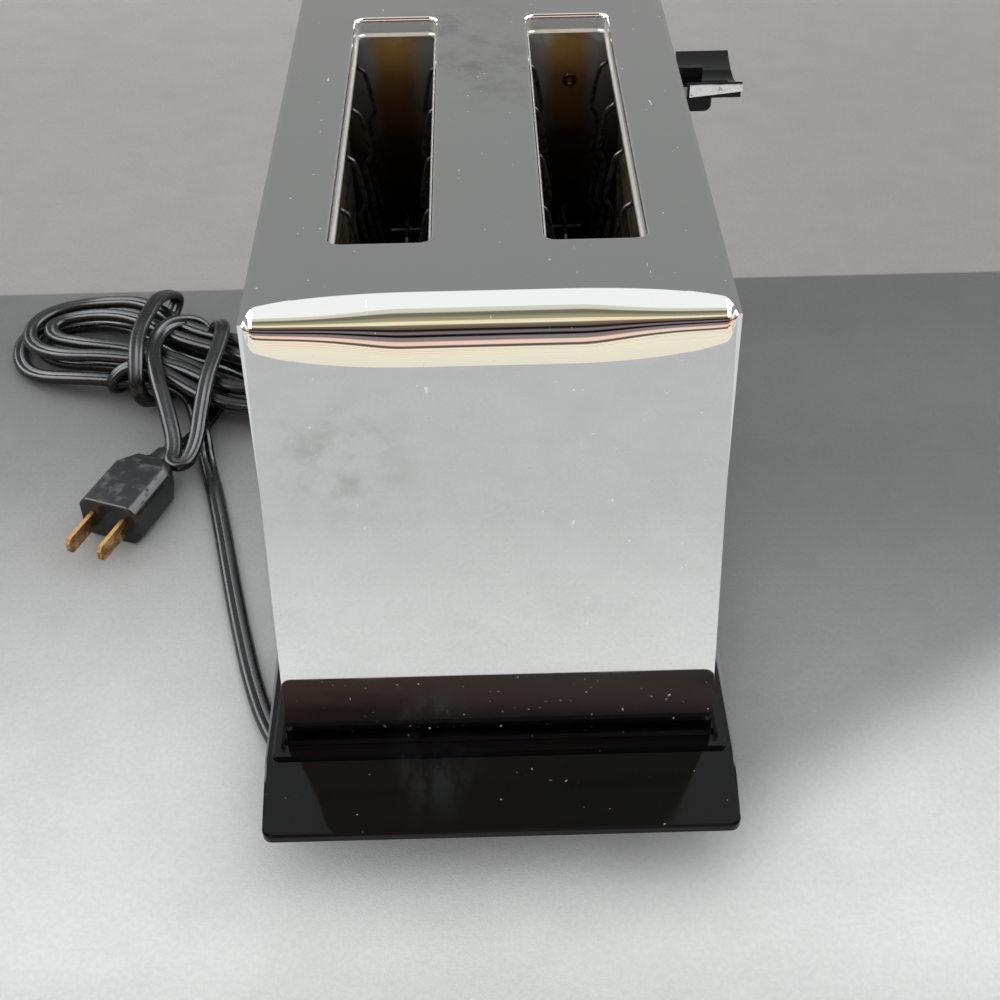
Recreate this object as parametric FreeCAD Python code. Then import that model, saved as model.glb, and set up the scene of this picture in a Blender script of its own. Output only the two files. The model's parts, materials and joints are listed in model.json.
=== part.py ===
import FreeCAD, Part
import os
from math import atan2, cos, exp, pi, radians, sin, tan

V = FreeCAD.Vector

# A two-slice pop-up toaster standing on the XY plane, front end towards -Y,
# lever side +X, origin under the middle of the two bread slots. Millimetres.

# Bright shell: one wrap for the ends and the top, and two side panels
SHELL_H = 144.7            # sheet height, from the edge in the base's groove to the top
END_DEPTH = 36.4           # from the end of a slot to the edge of the top
TOP_HALF_W = 58.1          # half width of the top
END_FLARE = 3.95           # each end leans out this much by its lower edge
SIDE_FLARE = 4.05          # each side leans out this much by its lower edge
SHEET = 0.8                # shell sheet
CROWN_R = 13.4             # radius of the bend between top and end, in the middle
CROWN_TIP = 0.5            # its pointed tips would meet this far outside the top's corners
CROWN_EAR = 3.2            # width of each drawn-out ear
CROWN_SWELL = 0.077        # growth of the radius up to the ears
CROWN_FLAT = 28.0          # half width over which the radius stays
SIDE_RECESS = 0.3          # side panels sit this far inside the wrap's cut edges
HEM = 6.0                  # turned-in rim of a side panel
NEST_GAP = 0.1             # between nested sheets

# Bread slots
SLOT_L = 140.0
SLOT_W = 26.0
SLOT_SPACING = 55.0        # between the slots' middles
SLOT_R = 3.0
RIM_DEPTH = 5.0            # turned-down rim of a slot
RIM_R = 1.2                # rolled edge of the rim

# Base moulding
FOOT_H = 7.0
FOOT_R = 8.0
SKIRT_H = 15.6             # from the skirt's lower edge to the underside of the plate
SKIRT_HALF_W = 49.5
SKIRT_OUT = 5.6            # the skirt's end beyond the edge of the top
SKIRT_WALL = 2.5
SKIRT_R = 8.0
PLATE_T = 2.6
GROOVE_DEPTH = 1.6         # the shell stands in this groove
GROOVE_FRONT = 4.1         # the open groove before each end panel
GROOVE_SIDE = 0.4
GROOVE_IN = SIDE_RECESS + SHEET + 0.25  # the groove's reach inside the shell's outer face
BEAD_W = 3.2
BEAD_H = 1.3
APRON_REACH = 30.85        # carrying apron beyond each end panel
APRON_DROP = 4.0           # fall of the apron from the bead to its lip
LEDGE_END = 5.2            # side ledge beyond the shell at the aprons
LEDGE_MID = 7.9            # side ledge at mid length
PLAN_R = 3.0
SCREW_R = 2.0
HEAD_R = 3.6
OPEN_HALF_W = 47.0         # crumb opening through the plate
OPEN_END = 12.0            # and the plate left beyond it at each end, up to the skirt
BOSS_R = 8.0
BOSS_X = 37.0
BOSS_END = 13.0            # from a screw to the skirt's end
RIB_T = 2.2
RIB_X = 36.0

# Inner frame
PAN_T = 0.8
PAN_HALF_W = 52.0
PAN_END = 7.0              # from the pan to the skirt's end
PAN_OPEN_HALF_W = 44.0
PAN_OPEN_FRONT = 10.0      # its opening beyond the slots
PAN_OPEN_REAR = 4.0
LINER_T = 0.8              # end liners of the slots
LINER_HALF_W = 51.0
LINER_GAP = 0.4            # between a liner and the slot's rim
SHIELD_T = 0.6
SHIELD_X = 49.2
RACK_SLOT_W = 3.0

# Heating elements: a mica card wound with ribbon on each side of each slot
CARD_T = 0.6
CARD_OUTER_X = 46.0
CARD_INNER_X = 9.2
CARD_END = 2.0             # a card ends this far inside the slot's end
CARD_LOW = 31.0
CARD_DROP = 10.5           # upper edge below the top of the shell
RIBBON_T = 0.3
RIBBON_W = 1.8
RIBBON_TURNS = 7

# Bread guards: five bent wires down each wall of each slot
WIRE_R = 0.8
GUARD_COUNT = 5
GUARD_END = 9.0            # first wire from the rear end of the slot
GUARD_FRONT = 8.2          # last wire from its front end
GUARD_STEP = 30.0          # height of one bend of the wire
GUARD_NEAR = 2.6           # least reach of a wire into the slot
GUARD_REACH = 5.0          # greatest reach
RAIL_W = 4.0
RAIL_T = 1.0
RAIL_TOP_DROP = 9.5        # upper rail below the top of the shell
RAIL_LOW = 28.0

# Lift carriage
RACK_DROP = 71.5           # bread racks below the top of the shell
RACK_LOW = 40.0            # and above the standing plane when pressed down
ROD_R = 2.5
ROD_OUT = 18.0             # guide rod beyond the slots
RUN_GAP = 0.05
BUSH_R = 4.0
WEB_OUT = 6.0              # front face of the carriage plate beyond the slots
WEB_T = 1.5
WEB_HALF_W = 16.0
WEB_DROP = 13.0            # its lower edge below the racks
WEB_RISE = 51.0            # its upper edge above them
BAR_HALF_W = 31.0
RACK_H = 9.0
RACK_T = 1.0
TINE_HALF = 5.6
TINE_R = 0.8
LEVER_OUT = 16.0           # lever and browning control beyond the slots
LEVER_RISE = 42.0          # lever above the racks
LEVER_T = 2.4
LEVER_H = 7.0
LEVER_SLOT_GAP = 1.6

# Lever knob outside the lever side
KNOB_X0 = 68.5
KNOB_L = 18.5
KNOB_REACH = 16.0          # towards the front from the lever
KNOB_DEPTH = 34.5          # front to rear
KNOB_LIP = 4.4             # near lip above the arm's middle
KNOB_DISH = 6.4            # depth of the finger trough below the near lip
KNOB_WALL = 3.2
KNOB_ROOT = 8.5            # length of the root block that takes the arm
STRIP_T = 0.8

# Springs, latch and browning control
SPRING_R = 3.4
SPRING_WIRE = 0.45
SPRING_TURNS = 13
SPRING_X = 13.0
LATCH_X = -30.0
LATCH_Z = 42.0
LATCH_PIN_R = 1.5
LATCH_NOSE = 7.5
LATCH_SWING = 14.0
LATCH_CLEAR = 0.65         # from the swung nose to the keeper, at the nose's tip
CONTROL_Z = 55.0
SHAFT_R = 3.0
SLIDE_X = 36.0              # thermostat slide on its rail
CONTROL_R = 11.0
CONTROL_L = 12.0

# Crumb tray
TRAY_T = 0.8
TRAY_OUT = 18.0            # ends of the tray beyond the slots
TRAY_EDGE_GAP = 1.0
HINGE_PIN_R = 1.2
KNUCKLE_R = 2.4

# Mains lead: black twin flex, its spare length in a hank drawn in at the middle
CORD_D = 6.5
CORD_SIDES = 5
FLOOR_GAP = 0.05
SLEEVE_R = 5.0             # moulded strain relief at the skirt's wall
SLEEVE_TIP_R = 4.2
SLEEVE_BEND_R = 16.0
SLEEVE_TURN = radians(60)
SLEEVE_FALL = 5.0
HANK_X = -128.0
HANK_Y = 108.0
HANK_TURN = radians(-29.0)
HANK_SHIFT = -13.0         # middle of the loops from the middle of the waist
HANK_HALF_L = 68.0
HANK_HALF_W = 43.0
HANK_STEP_L = 8.5          # between neighbouring loops at the ends
HANK_STEP_W = 14.4         # and along the sides, wide enough for the waist
HANK_FROM = radians(282)   # where on the outer loop the lead joins it
HANK_SWEEP = radians(1432) # both layers, in and out again
HANK_LAYER = 7.1           # between the two layers
WAIST_L = 38.0             # how far along the hank its waist reaches
WAIST_HALF_W = 16.35       # the outer loop's half width there
WAIST_STEP = 7.3           # between neighbouring loops there
WAIST_SHIFT = 1.75         # sets the loops of one side between those of the other
HANK_LIFT = 7.6            # the middle rides over the ties that pass under it
PLUG_L = 32.0
PLUG_W = 24.0
PLUG_H = 17.0
BLADE_L = 17.0
BLADE_W = 6.4
BLADE_T = 1.5
BLADE_SPACING = 12.7

# Heights and reaches that follow from these
slot_end = SLOT_L / 2
top_half_l = slot_end + END_DEPTH
skirt_half_l = top_half_l + SKIRT_OUT
open_half_l = skirt_half_l - OPEN_END
boss_y = skirt_half_l - BOSS_END
pan_half_l = skirt_half_l - PAN_END
card_half_l = slot_end - CARD_END
guard_first_y = slot_end - GUARD_END
guard_pitch = (SLOT_L - GUARD_END - GUARD_FRONT) / (GUARD_COUNT - 1)
rod_y = slot_end + ROD_OUT
web_y = slot_end + WEB_OUT
lever_y = slot_end + LEVER_OUT
knob_y0 = lever_y - KNOB_REACH
knob_y1 = knob_y0 + KNOB_DEPTH
tray_half_l = slot_end + TRAY_OUT
plate_low = FOOT_H + SKIRT_H
plate_top = plate_low + PLATE_T
shell_low = plate_top - GROOVE_DEPTH + 0.2
top = shell_low + SHELL_H
slot_x = SLOT_SPACING / 2
card_high = top - CARD_DROP
rack_top = top - RACK_DROP
travel = rack_top - RACK_LOW
web_low = rack_top - WEB_DROP
web_high = rack_top + WEB_RISE
lever_z = rack_top + LEVER_RISE
end_low = top_half_l + END_FLARE
side_low = TOP_HALF_W + SIDE_FLARE
apron_end = end_low + APRON_REACH
pan_top = plate_top + PAN_T
liner_y = slot_end + SHEET + LINER_GAP
liner_top = top - SHEET - 0.2
hinge_x = -(SKIRT_HALF_W - SKIRT_WALL - KNUCKLE_R - 0.4)
hinge_z = FOOT_H + KNUCKLE_R + 0.2
gland_y = -(skirt_half_l - 5.0)
gland_z = FOOT_H + 3.4


def box(x0, x1, y0, y1, z0, z1):
    return Part.makeBox(x1 - x0, y1 - y0, z1 - z0, V(x0, y0, z0))


def prism(points, direction):
    """A closed polygon of 3-D points pushed along a direction."""
    wire = Part.makePolygon([V(*p) for p in points] + [V(*points[0])])
    return Part.Face(wire).extrude(V(*direction))


def rod(start, end, radius):
    """A round bar between two points."""
    a, b = V(*start), V(*end)
    return Part.makeCylinder(radius, (b - a).Length, a, b - a)


def peg(start, end, radius, sides=12):
    """A small round bar with few faces, for fasteners and their holes."""
    return mitred_bar([start, end], polygon(sides, radius))


def ring_solid(rings):
    """A solid through rings of as many corners each, with flat faces."""
    faces = [Part.Face(Part.makePolygon(rings[0][::-1] + [rings[0][-1]])),
             Part.Face(Part.makePolygon(rings[-1] + [rings[-1][0]]))]
    for low, high in zip(rings, rings[1:]):
        for k in range(len(low)):
            n = (k + 1) % len(low)
            a, b, c, d = low[k], low[n], high[n], high[k]
            if abs((b - a).cross(c - a).dot(d - a)) < 1e-6:
                faces.append(Part.Face(Part.makePolygon([a, b, c, d, a])))
            else:
                faces.append(Part.Face(Part.makePolygon([a, b, c, a])))
                faces.append(Part.Face(Part.makePolygon([a, c, d, a])))
    solid = Part.Solid(Part.Shell(faces))
    return solid if solid.Volume > 0 else solid.reversed()


def taper(stations, sides=12, heading=(0, 0, 1)):
    """A polygonal bar through (centre, radius) stations that all face one way,
    or each its own way where a third value gives it."""
    rings = []
    for centre, radius, *turned in stations:
        along = V(*(turned[0] if turned else heading)).normalize()
        side = along.cross(V(0, 0, 1))
        side = V(1, 0, 0) if side.Length < 1e-6 else side.normalize()
        up = side.cross(along)
        rings.append([V(*centre) + side * a + up * b for a, b in polygon(sides, radius)])
    return ring_solid(rings)


def round_rect(hx, hy, r, z, cx=0.0, cy=0.0):
    """A rectangle with round corners, as a wire at height z."""
    edges = []
    corners = [(1, -1, -90), (1, 1, 0), (-1, 1, 90), (-1, -1, 180)]
    spots = []
    for sx, sy, start in corners:
        mx, my = cx + sx * (hx - r), cy + sy * (hy - r)
        arc = [V(mx + r * cos(radians(start + a)), my + r * sin(radians(start + a)), z)
               for a in (0, 45, 90)]
        spots.append(arc)
    for i, arc in enumerate(spots):
        following = spots[(i + 1) % 4]
        edges.append(Part.Arc(*arc).toShape())
        edges.append(Part.LineSegment(arc[2], following[0]).toShape())
    return Part.Wire(edges)


def round_prism(hx, hy, r, z0, z1, cx=0.0, cy=0.0):
    return Part.Face(round_rect(hx, hy, r, z0, cx, cy)).extrude(V(0, 0, z1 - z0))


def fused(shapes):
    """Shapes that touch, joined into one piece."""
    whole = shapes[0].fuse(shapes[1:]) if len(shapes) > 1 else shapes[0]
    return whole.removeSplitter()


def group(shapes):
    """Like pieces that share one node as separate solids."""
    return Part.makeCompound([s for shape in shapes for s in shape.Solids])


def mitred_bar(points, section):
    """A bar of polygon section along straight runs, mitred where it bends.

    The section is a list of (across, up) pairs about the first run."""
    pts = [V(*p) for p in points]
    runs = [(b - a).normalize() for a, b in zip(pts, pts[1:])]
    side = runs[0].cross(V(0, 0, 1))
    if side.Length < 1e-6:
        side = V(1, 0, 0)
    side.normalize()
    up = side.cross(runs[0])
    ring = [pts[0] + side * a + up * b for a, b in section]
    rings = [ring]
    for i, run in enumerate(runs):
        ahead = runs[i + 1] if i + 1 < len(runs) else run
        normal = run + ahead
        ring = [p + run * ((pts[i + 1] - p).dot(normal) / run.dot(normal)) for p in ring]
        rings.append(ring)
    return ring_solid(rings)


def polygon(sides, radius):
    """The corners of a regular section of the same area as a round one."""
    reach = radius * (2 * pi / (sides * sin(2 * pi / sides))) ** 0.5
    return [(reach * cos(2 * pi * (k + 0.5) / sides), reach * sin(2 * pi * (k + 0.5) / sides))
            for k in range(sides)]


def half_length(z):
    return top_half_l + END_FLARE * (top - z) / SHELL_H


def half_width(z):
    return TOP_HALF_W + SIDE_FLARE * (top - z) / SHELL_H


def save(name, shape):
    shape.exportStep(f"parts/{name}.step")


# The shell's bend from top to end is crowned: nearly even over the width, then drawn
# to a point at each corner. It is the outside of a spool with flared rims.
def crown_cutter(side, inset):
    """What the bend takes off the square corner at one end; inside the sheet it is
    plain and round."""
    lean = atan2(END_FLARE, SHELL_H)
    cz = top - CROWN_R
    cy = half_length(cz) - CROWN_R / cos(lean)
    r = CROWN_R + 0.05
    wide = side_low + 4
    if inset:
        spool = rod((-wide, side * cy, cz), (wide, side * cy, cz), r - inset)
    else:
        spool = crown_spool(side * cy, cz, r, wide)
    y0, y1 = sorted((side * cy, side * (cy + 40)))
    return box(-wide + 1, wide - 1, y0, y1, cz, cz + 40).cut(spool)


def crown_spool(y, z, r, wide):
    tip = TOP_HALF_W + CROWN_TIP
    even, flat = tip - CROWN_EAR, CROWN_FLAT
    ear, spread = r * (1 + CROWN_SWELL), even - flat
    knee = ear + 1.6 * CROWN_SWELL * r * CROWN_EAR / spread
    bow_r = (spread ** 2 + (ear - r) ** 2) / (2 * (ear - r))
    quarter = r + bow_r - (bow_r ** 2 - (spread / 2) ** 2) ** 0.5
    corner = r * 2 ** 0.5
    outline = [(0, r), (flat, r), (flat + spread / 2, quarter), (even, ear),
               (even + 0.8 * CROWN_EAR, knee), (tip, corner), (wide, corner), (wide, 0)]
    edges = [Part.LineSegment(V(-wide, y, z), V(wide, y, z)).toShape()]
    for s in (-1, 1):
        spots = [V(s * x, y, z + h) for x, h in outline]
        ear_curve = Part.BezierCurve()
        ear_curve.setPoles(spots[3:6])
        edges += [Part.Arc(*spots[1:4]).toShape(), ear_curve.toShape()]
        for a, b in ((0, 1), (5, 6), (6, 7)):
            edges.append(Part.LineSegment(spots[a], spots[b]).toShape())
    outline = Part.Wire(Part.__sortEdges__(edges))
    return Part.Face(outline).revolve(V(0, y, z), V(1, 0, 0), 360).removeSplitter()


def shell_block(inset, low):
    """The space inside the wrap's surface, set in by a distance, wider than the body."""
    wide = side_low + 2
    high = top - inset
    yl, yh = half_length(low) - inset, half_length(high) - inset
    block = prism([(-wide, -yl, low), (-wide, -yh, high), (-wide, yh, high), (-wide, yl, low)],
                  (2 * wide, 0, 0))
    for side in (-1, 1):
        block = block.cut(crown_cutter(side, inset))
    return block


def side_prism(inset, low, high):
    """The space between the two leaning sides, set in by a distance."""
    wl, wh = half_width(low) - inset, half_width(high) - inset
    reach = apron_end
    return prism([(-wl, -reach, low), (wl, -reach, low), (wh, -reach, high), (-wh, -reach, high)],
                 (0, 2 * reach, 0))


def make_shell():
    far_low, far_high = shell_low - 5, top + 5
    outer = shell_block(0, shell_low)
    inner = shell_block(SHEET, far_low)
    wrap = outer.common(side_prism(0, far_low, far_high)).cut(inner)
    for s in (-1, 1):
        rim = round_prism(SLOT_W / 2 + SHEET, SLOT_L / 2 + SHEET, SLOT_R + SHEET,
                          top - SHEET - RIM_DEPTH, top, s * slot_x)
        hole = round_prism(SLOT_W / 2, SLOT_L / 2, SLOT_R, top - 20, top + 5, s * slot_x)
        wrap = wrap.fuse(rim).cut(hole)
    wrap = wrap.removeSplitter()
    lips = [e for e in wrap.Edges
            if abs(e.BoundBox.ZMin - top) < 1e-3 and abs(e.BoundBox.ZMax - top) < 1e-3
            and abs(e.CenterOfMass.y) < SLOT_L / 2 + 1
            and abs(abs(e.CenterOfMass.x) - slot_x) < SLOT_W / 2 + 1]
    wrap = wrap.makeChamfer(RIM_R * 0.6, lips)
    save("shell_wrap", wrap)

    nest = shell_block(SHEET + NEST_GAP, shell_low)
    core = shell_block(2 * SHEET + NEST_GAP, far_low)
    skin = side_prism(SIDE_RECESS, far_low, far_high)
    skin = skin.cut(side_prism(SIDE_RECESS + SHEET, far_low - 1, far_high + 1))
    hem = side_prism(SIDE_RECESS, plate_top + 0.3, far_high)
    hem = hem.cut(side_prism(SIDE_RECESS + HEM, plate_top - 1, far_high + 1))
    both = nest.common(skin).fuse(nest.cut(core).common(hem))
    half = box(0, 200, -200, 200, 0, 300)
    right = both.common(half)
    left = both.cut(half)
    reach = LEVER_H / 2 + 2.5
    gap = LEVER_T / 2 + LEVER_SLOT_GAP
    right = right.cut(round_prism_yz(lever_y, gap, lever_z - travel - reach, lever_z + reach))
    right = right.cut(rod((20, lever_y, CONTROL_Z), (90, lever_y, CONTROL_Z), SHAFT_R + 0.4))
    save("side_panel_left", left)
    save("side_panel_right", right)


def round_prism_yz(y, half, z0, z1):
    """A slot with round ends through the lever side."""
    wall = (20, 70)
    body = box(*wall, y - half, y + half, z0 + half, z1 - half)
    ends = [rod((wall[0], y, z), (wall[1], y, z), half) for z in (z0 + half, z1 - half)]
    return body.fuse(ends)


# Base moulding: apron plate with a groove and bead round the shell, a skirt under
# it, screw bosses, ribs under the carrying aprons and lugs for the tray's hinge.
def base_outline(z, grow=0.0):
    end, mid, far = side_low + LEDGE_END + grow, side_low + LEDGE_MID + grow, apron_end + grow
    r = PLAN_R
    c = r * (1 - cos(pi / 4))
    edges = []
    for s in (1, -1):
        edges += [
            Part.LineSegment(V(-s * (end - r), -s * far, z), V(s * (end - r), -s * far, z)).toShape(),
            Part.Arc(V(s * (end - r), -s * far, z), V(s * (end - c), -s * (far - c), z),
                     V(s * end, -s * (far - r), z)).toShape(),
            Part.Arc(V(s * end, -s * (far - r), z), V(s * mid, 0, z),
                     V(s * end, s * (far - r), z)).toShape(),
            Part.Arc(V(s * end, s * (far - r), z), V(s * (end - c), s * (far - c), z),
                     V(s * (end - r), s * far, z)).toShape()]
    return Part.Wire(edges)


def make_base():
    bead_y = end_low + GROOVE_FRONT
    bead_x = side_low + GROOVE_SIDE + 1.4
    knee = bead_y + BEAD_W
    lip = plate_top - APRON_DROP
    reach = apron_end + 1
    fall = APRON_DROP * (reach - knee) / (apron_end - knee)
    edge = plate_top - fall
    band = prism([(-90, -reach, edge), (-90, -knee, plate_top), (-90, knee, plate_top),
                  (-90, reach, edge), (-90, reach, edge - PLATE_T), (-90, knee, plate_low),
                  (-90, -knee, plate_low), (-90, -reach, edge - PLATE_T)], (180, 0, 0))
    plate = Part.Face(base_outline(0)).extrude(V(0, 0, 60)).common(band)
    rims = [e for e in plate.Edges if e.BoundBox.ZMin > lip - 0.5 and on_outline(e)
            and e.CenterOfMass.z > plate_top - APRON_DROP - 0.4 and top_edge(e)]
    plate = plate.makeChamfer(0.6, rims)
    plate = plate.cut(box(-OPEN_HALF_W, OPEN_HALF_W, -open_half_l, open_half_l, 0, 60))
    groove_low = plate_top - GROOVE_DEPTH
    groove = round_prism(side_low + GROOVE_SIDE, end_low + GROOVE_SIDE, 0.6, groove_low, 60)
    groove = groove.cut(round_prism(side_low - GROOVE_IN, end_low - GROOVE_IN, 0.4, 0, 80))
    trench = box(-bead_x + 1, bead_x - 1, end_low - GROOVE_IN, bead_y, groove_low, 60)
    plate = plate.cut(groove).cut(trench).cut(trench.mirror(V(0, 0, 0), V(0, 1, 0)))
    bead = round_prism(bead_x + BEAD_W - 1, bead_y + BEAD_W, 2.0, plate_top - 0.6, plate_top + BEAD_H)
    bead = bead.cut(round_prism(bead_x - 1, bead_y, 0.5, 0, 80))
    crest = [e for e in bead.Edges if e.BoundBox.ZMin > plate_top + BEAD_H - 1e-3]
    bead = bead.makeChamfer(BEAD_H * 0.6, crest)

    skirt_low = FOOT_H
    skirt = round_prism(SKIRT_HALF_W, skirt_half_l, SKIRT_R, skirt_low, plate_low + 0.5)
    skirt = skirt.cut(round_prism(SKIRT_HALF_W - SKIRT_WALL, skirt_half_l - SKIRT_WALL,
                                  SKIRT_R - SKIRT_WALL, 0, plate_low + 1))
    parts = [plate, bead, skirt]
    for sx in (-1, 1):
        for sy in (-1, 1):
            parts.append(peg((sx * BOSS_X, sy * boss_y, skirt_low),
                             (sx * BOSS_X, sy * boss_y, plate_low + 0.5), BOSS_R))
    for x in (-RIB_X, 0, RIB_X):
        for s in (-1, 1):
            parts.append(prism([(x - RIB_T / 2, s * (skirt_half_l - 1), skirt_low + 3),
                                (x - RIB_T / 2, s * (apron_end - 6), edge - PLATE_T + 1.2),
                                (x - RIB_T / 2, s * (knee - 1), plate_low + 1),
                                (x - RIB_T / 2, s * (skirt_half_l - 1), plate_low + 1)],
                               (RIB_T, 0, 0)))
    base = fused(parts)
    for y in (-30, 30):
        lug = box(-SKIRT_HALF_W + 1, hinge_x + KNUCKLE_R, y - 5, y + 5,
                  hinge_z - KNUCKLE_R, hinge_z + KNUCKLE_R)
        base = base.fuse(lug)
    base = base.cut(rod((hinge_x, -120, hinge_z), (hinge_x, 120, hinge_z), HINGE_PIN_R)
                    .common(box(-60, 0, -60, 60, 0, 40)))
    for sx in (-1, 1):
        for sy in (-1, 1):
            base = base.cut(peg((sx * BOSS_X, sy * boss_y, 0), (sx * BOSS_X, sy * boss_y, 60),
                                SCREW_R + 0.3))
    base = base.cut(peg((-70, gland_y, gland_z), (-40, gland_y, gland_z), SLEEVE_R + 0.1))
    save("base_frame", base.removeSplitter())


def on_outline(edge):
    """Whether an edge of the plate runs round its outside."""
    c = edge.CenterOfMass
    return abs(c.y) > apron_end - 1.6 or abs(c.x) > side_low + LEDGE_END - 1.6


def top_edge(edge):
    """Whether both ends of an edge lie on the plate's upper surface."""
    bead_y = end_low + GROOVE_FRONT + BEAD_W
    for v in edge.Vertexes:
        beyond = max(0.0, abs(v.Point.y) - bead_y)
        surface = plate_top - APRON_DROP * beyond / (apron_end - bead_y)
        if abs(v.Point.z - surface) > 1e-3:
            return False
    return True


def make_feet():
    feet, screws = [], []
    for sx in (-1, 1):
        for sy in (-1, 1):
            x, y = sx * BOSS_X, sy * boss_y
            foot = taper([((x, y, 0), FOOT_R - 1), ((x, y, FOOT_H), FOOT_R)], 18)
            feet.append(foot.cut(peg((x, y, -1), (x, y, FOOT_H + 1), HEAD_R + 0.5)))
            head = peg((x, y, FOOT_H - 2), (x, y, FOOT_H), HEAD_R)
            shank = peg((x, y, FOOT_H), (x, y, pan_top + 2.5), SCREW_R)
            slot = box(x - 5, x + 5, y - 0.5, y + 0.5, 0, FOOT_H - 1.2)
            screws.append(head.fuse(shank).cut(slot))
    save("feet", group(feet))
    save("base_screws", group(screws))


# Inner frame: a ring-shaped pan on the base, two liners across it that close the
# ends of the slots and carry the elements, and a heat shield down each side.
def make_inner_frame():
    pan = box(-PAN_HALF_W, PAN_HALF_W, -pan_half_l, pan_half_l, plate_top, pan_top)
    pan = pan.cut(box(-PAN_OPEN_HALF_W, PAN_OPEN_HALF_W, -slot_end - PAN_OPEN_FRONT, slot_end + PAN_OPEN_REAR, 0, 60))
    for sx in (-1, 1):
        for sy in (-1, 1):
            pan = pan.cut(peg((sx * BOSS_X, sy * boss_y, 0), (sx * BOSS_X, sy * boss_y, 60),
                              SCREW_R + 0.3))
    save("chassis_pan", pan)

    nuts = []
    for sx in (-1, 1):
        for sy in (-1, 1):
            x, y = sx * BOSS_X, sy * boss_y
            nut = Part.Face(Part.makePolygon([V(x + 4 * cos(a * pi / 3), y + 4 * sin(a * pi / 3), pan_top)
                                              for a in range(7)])).extrude(V(0, 0, 2.2))
            nuts.append(nut.cut(peg((x, y, 0), (x, y, 60), SCREW_R + 0.1)))
    save("chassis_nuts", group(nuts))

    for name, s in (("front_liner", -1), ("rear_liner", 1)):
        y0, y1 = sorted((s * liner_y, s * (liner_y + LINER_T)))
        liner = box(-LINER_HALF_W, LINER_HALF_W, y0, y1, pan_top, liner_top)
        liner = liner.cut(box(-PAN_OPEN_HALF_W, PAN_OPEN_HALF_W, y0 - 1, y1 + 1, 0, RAIL_LOW))
        foot_y = sorted((s * liner_y, s * (liner_y + 8)))
        for sx in (-1, 1):
            x0, x1 = sorted((sx * (PAN_OPEN_HALF_W + 0.5), sx * LINER_HALF_W))
            liner = liner.fuse(box(x0, x1, *foot_y, pan_top, pan_top + LINER_T))
        if s > 0:
            for xc in (-slot_x, slot_x):
                low = rack_top - RACK_H - travel - 2
                liner = liner.cut(box(xc - RACK_SLOT_W / 2, xc + RACK_SLOT_W / 2, y0 - 1, y1 + 1,
                                      low, rack_top + 2))
        save(name, liner.removeSplitter())

    for name, s in (("heat_shield_left", -1), ("heat_shield_right", 1)):
        x0, x1 = sorted((s * SHIELD_X, s * (SHIELD_X + SHIELD_T)))
        shield = box(x0, x1, -liner_y, liner_y, pan_top, liner_top - 4)
        for k in range(4):
            y = -45 + 30 * k
            louvre = box(x0 - 1, x1 + 1, y - 9, y + 9, liner_top - 22, liner_top - 18)
            shield = shield.cut(louvre)
        save(name, shield)


# Elements: mica cards with a tab at each corner that meets the liners, and a flat
# ribbon wound round each card from top to bottom.
def make_elements():
    places = {"left": -CARD_OUTER_X, "centre_left": -CARD_INNER_X,
              "centre_right": CARD_INNER_X, "right": CARD_OUTER_X}
    tab = 8.0
    pitch = (card_high - CARD_LOW - 2 * tab - 4) / RIBBON_TURNS
    for name, x in places.items():
        card = box(x - CARD_T / 2, x + CARD_T / 2, -card_half_l, card_half_l, CARD_LOW, card_high)
        for z in (CARD_LOW, card_high - tab):
            card = card.fuse(box(x - CARD_T / 2, x + CARD_T / 2, -liner_y, liner_y, z, z + tab))
        save(f"element_card_{name}", card.removeSplitter())

        near, far = x - CARD_T / 2 - RIBBON_T, x + CARD_T / 2 + RIBBON_T
        inner_near, inner_far = x - CARD_T / 2, x + CARD_T / 2
        y0, y1 = card_half_l, card_half_l + RIBBON_T
        coil = []
        for k in range(RIBBON_TURNS):
            z = CARD_LOW + tab + 2 + pitch * k
            h = RIBBON_W
            coil.append(box(near, inner_near, -y1, y1, z, z + h))
            coil.append(box(near, far, y0, y1, z, z + h))
            if k < RIBBON_TURNS - 1:
                coil.append(prism([(inner_far, y1, z), (inner_far, y1, z + h),
                                   (inner_far, -y1, z + pitch + h), (inner_far, -y1, z + pitch)],
                                  (RIBBON_T, 0, 0)))
                coil.append(box(near, far, -y1, -y0, z + pitch, z + pitch + h))
        save(f"element_winding_{name}", fused(coil))


# Bread guards: wires with a sawtooth bend that leans the bread away from the
# elements, hung between an upper and a lower rail on each wall of each slot.
def make_guards():
    rails = []
    rail_top = top - RAIL_TOP_DROP
    for n, (xc, s) in enumerate(((-slot_x, -1), (-slot_x, 1), (slot_x, -1), (slot_x, 1)), 1):
        wall = xc + s * SLOT_W / 2
        start = wall + s * WIRE_R
        route = [(start, rail_top - RAIL_T), (start, rail_top - RAIL_T - 1.5)]
        z = rail_top - RAIL_T - 4
        while z - GUARD_STEP > RAIL_LOW + RAIL_T:
            route += [(wall - s * GUARD_NEAR, z), (wall - s * GUARD_REACH, z - 0.75 * GUARD_STEP)]
            z -= GUARD_STEP
        route += [(wall - s * GUARD_NEAR, z), (start, RAIL_LOW + RAIL_T + 2),
                  (start, RAIL_LOW + RAIL_T)]
        wires = []
        for k in range(GUARD_COUNT):
            y = guard_first_y - guard_pitch * k
            wires.append(mitred_bar([(x, y, h) for x, h in route], polygon(5, WIRE_R)))
        save(f"bread_guard_{n}", group(wires))
        x0, x1 = sorted((wall - s * 0.2, wall - s * 0.2 + s * RAIL_W))
        for z in (RAIL_LOW, rail_top - RAIL_T):
            rails.append(box(x0, x1, -liner_y, liner_y, z, z + RAIL_T))
    save("guard_rails", group(rails))


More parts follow.
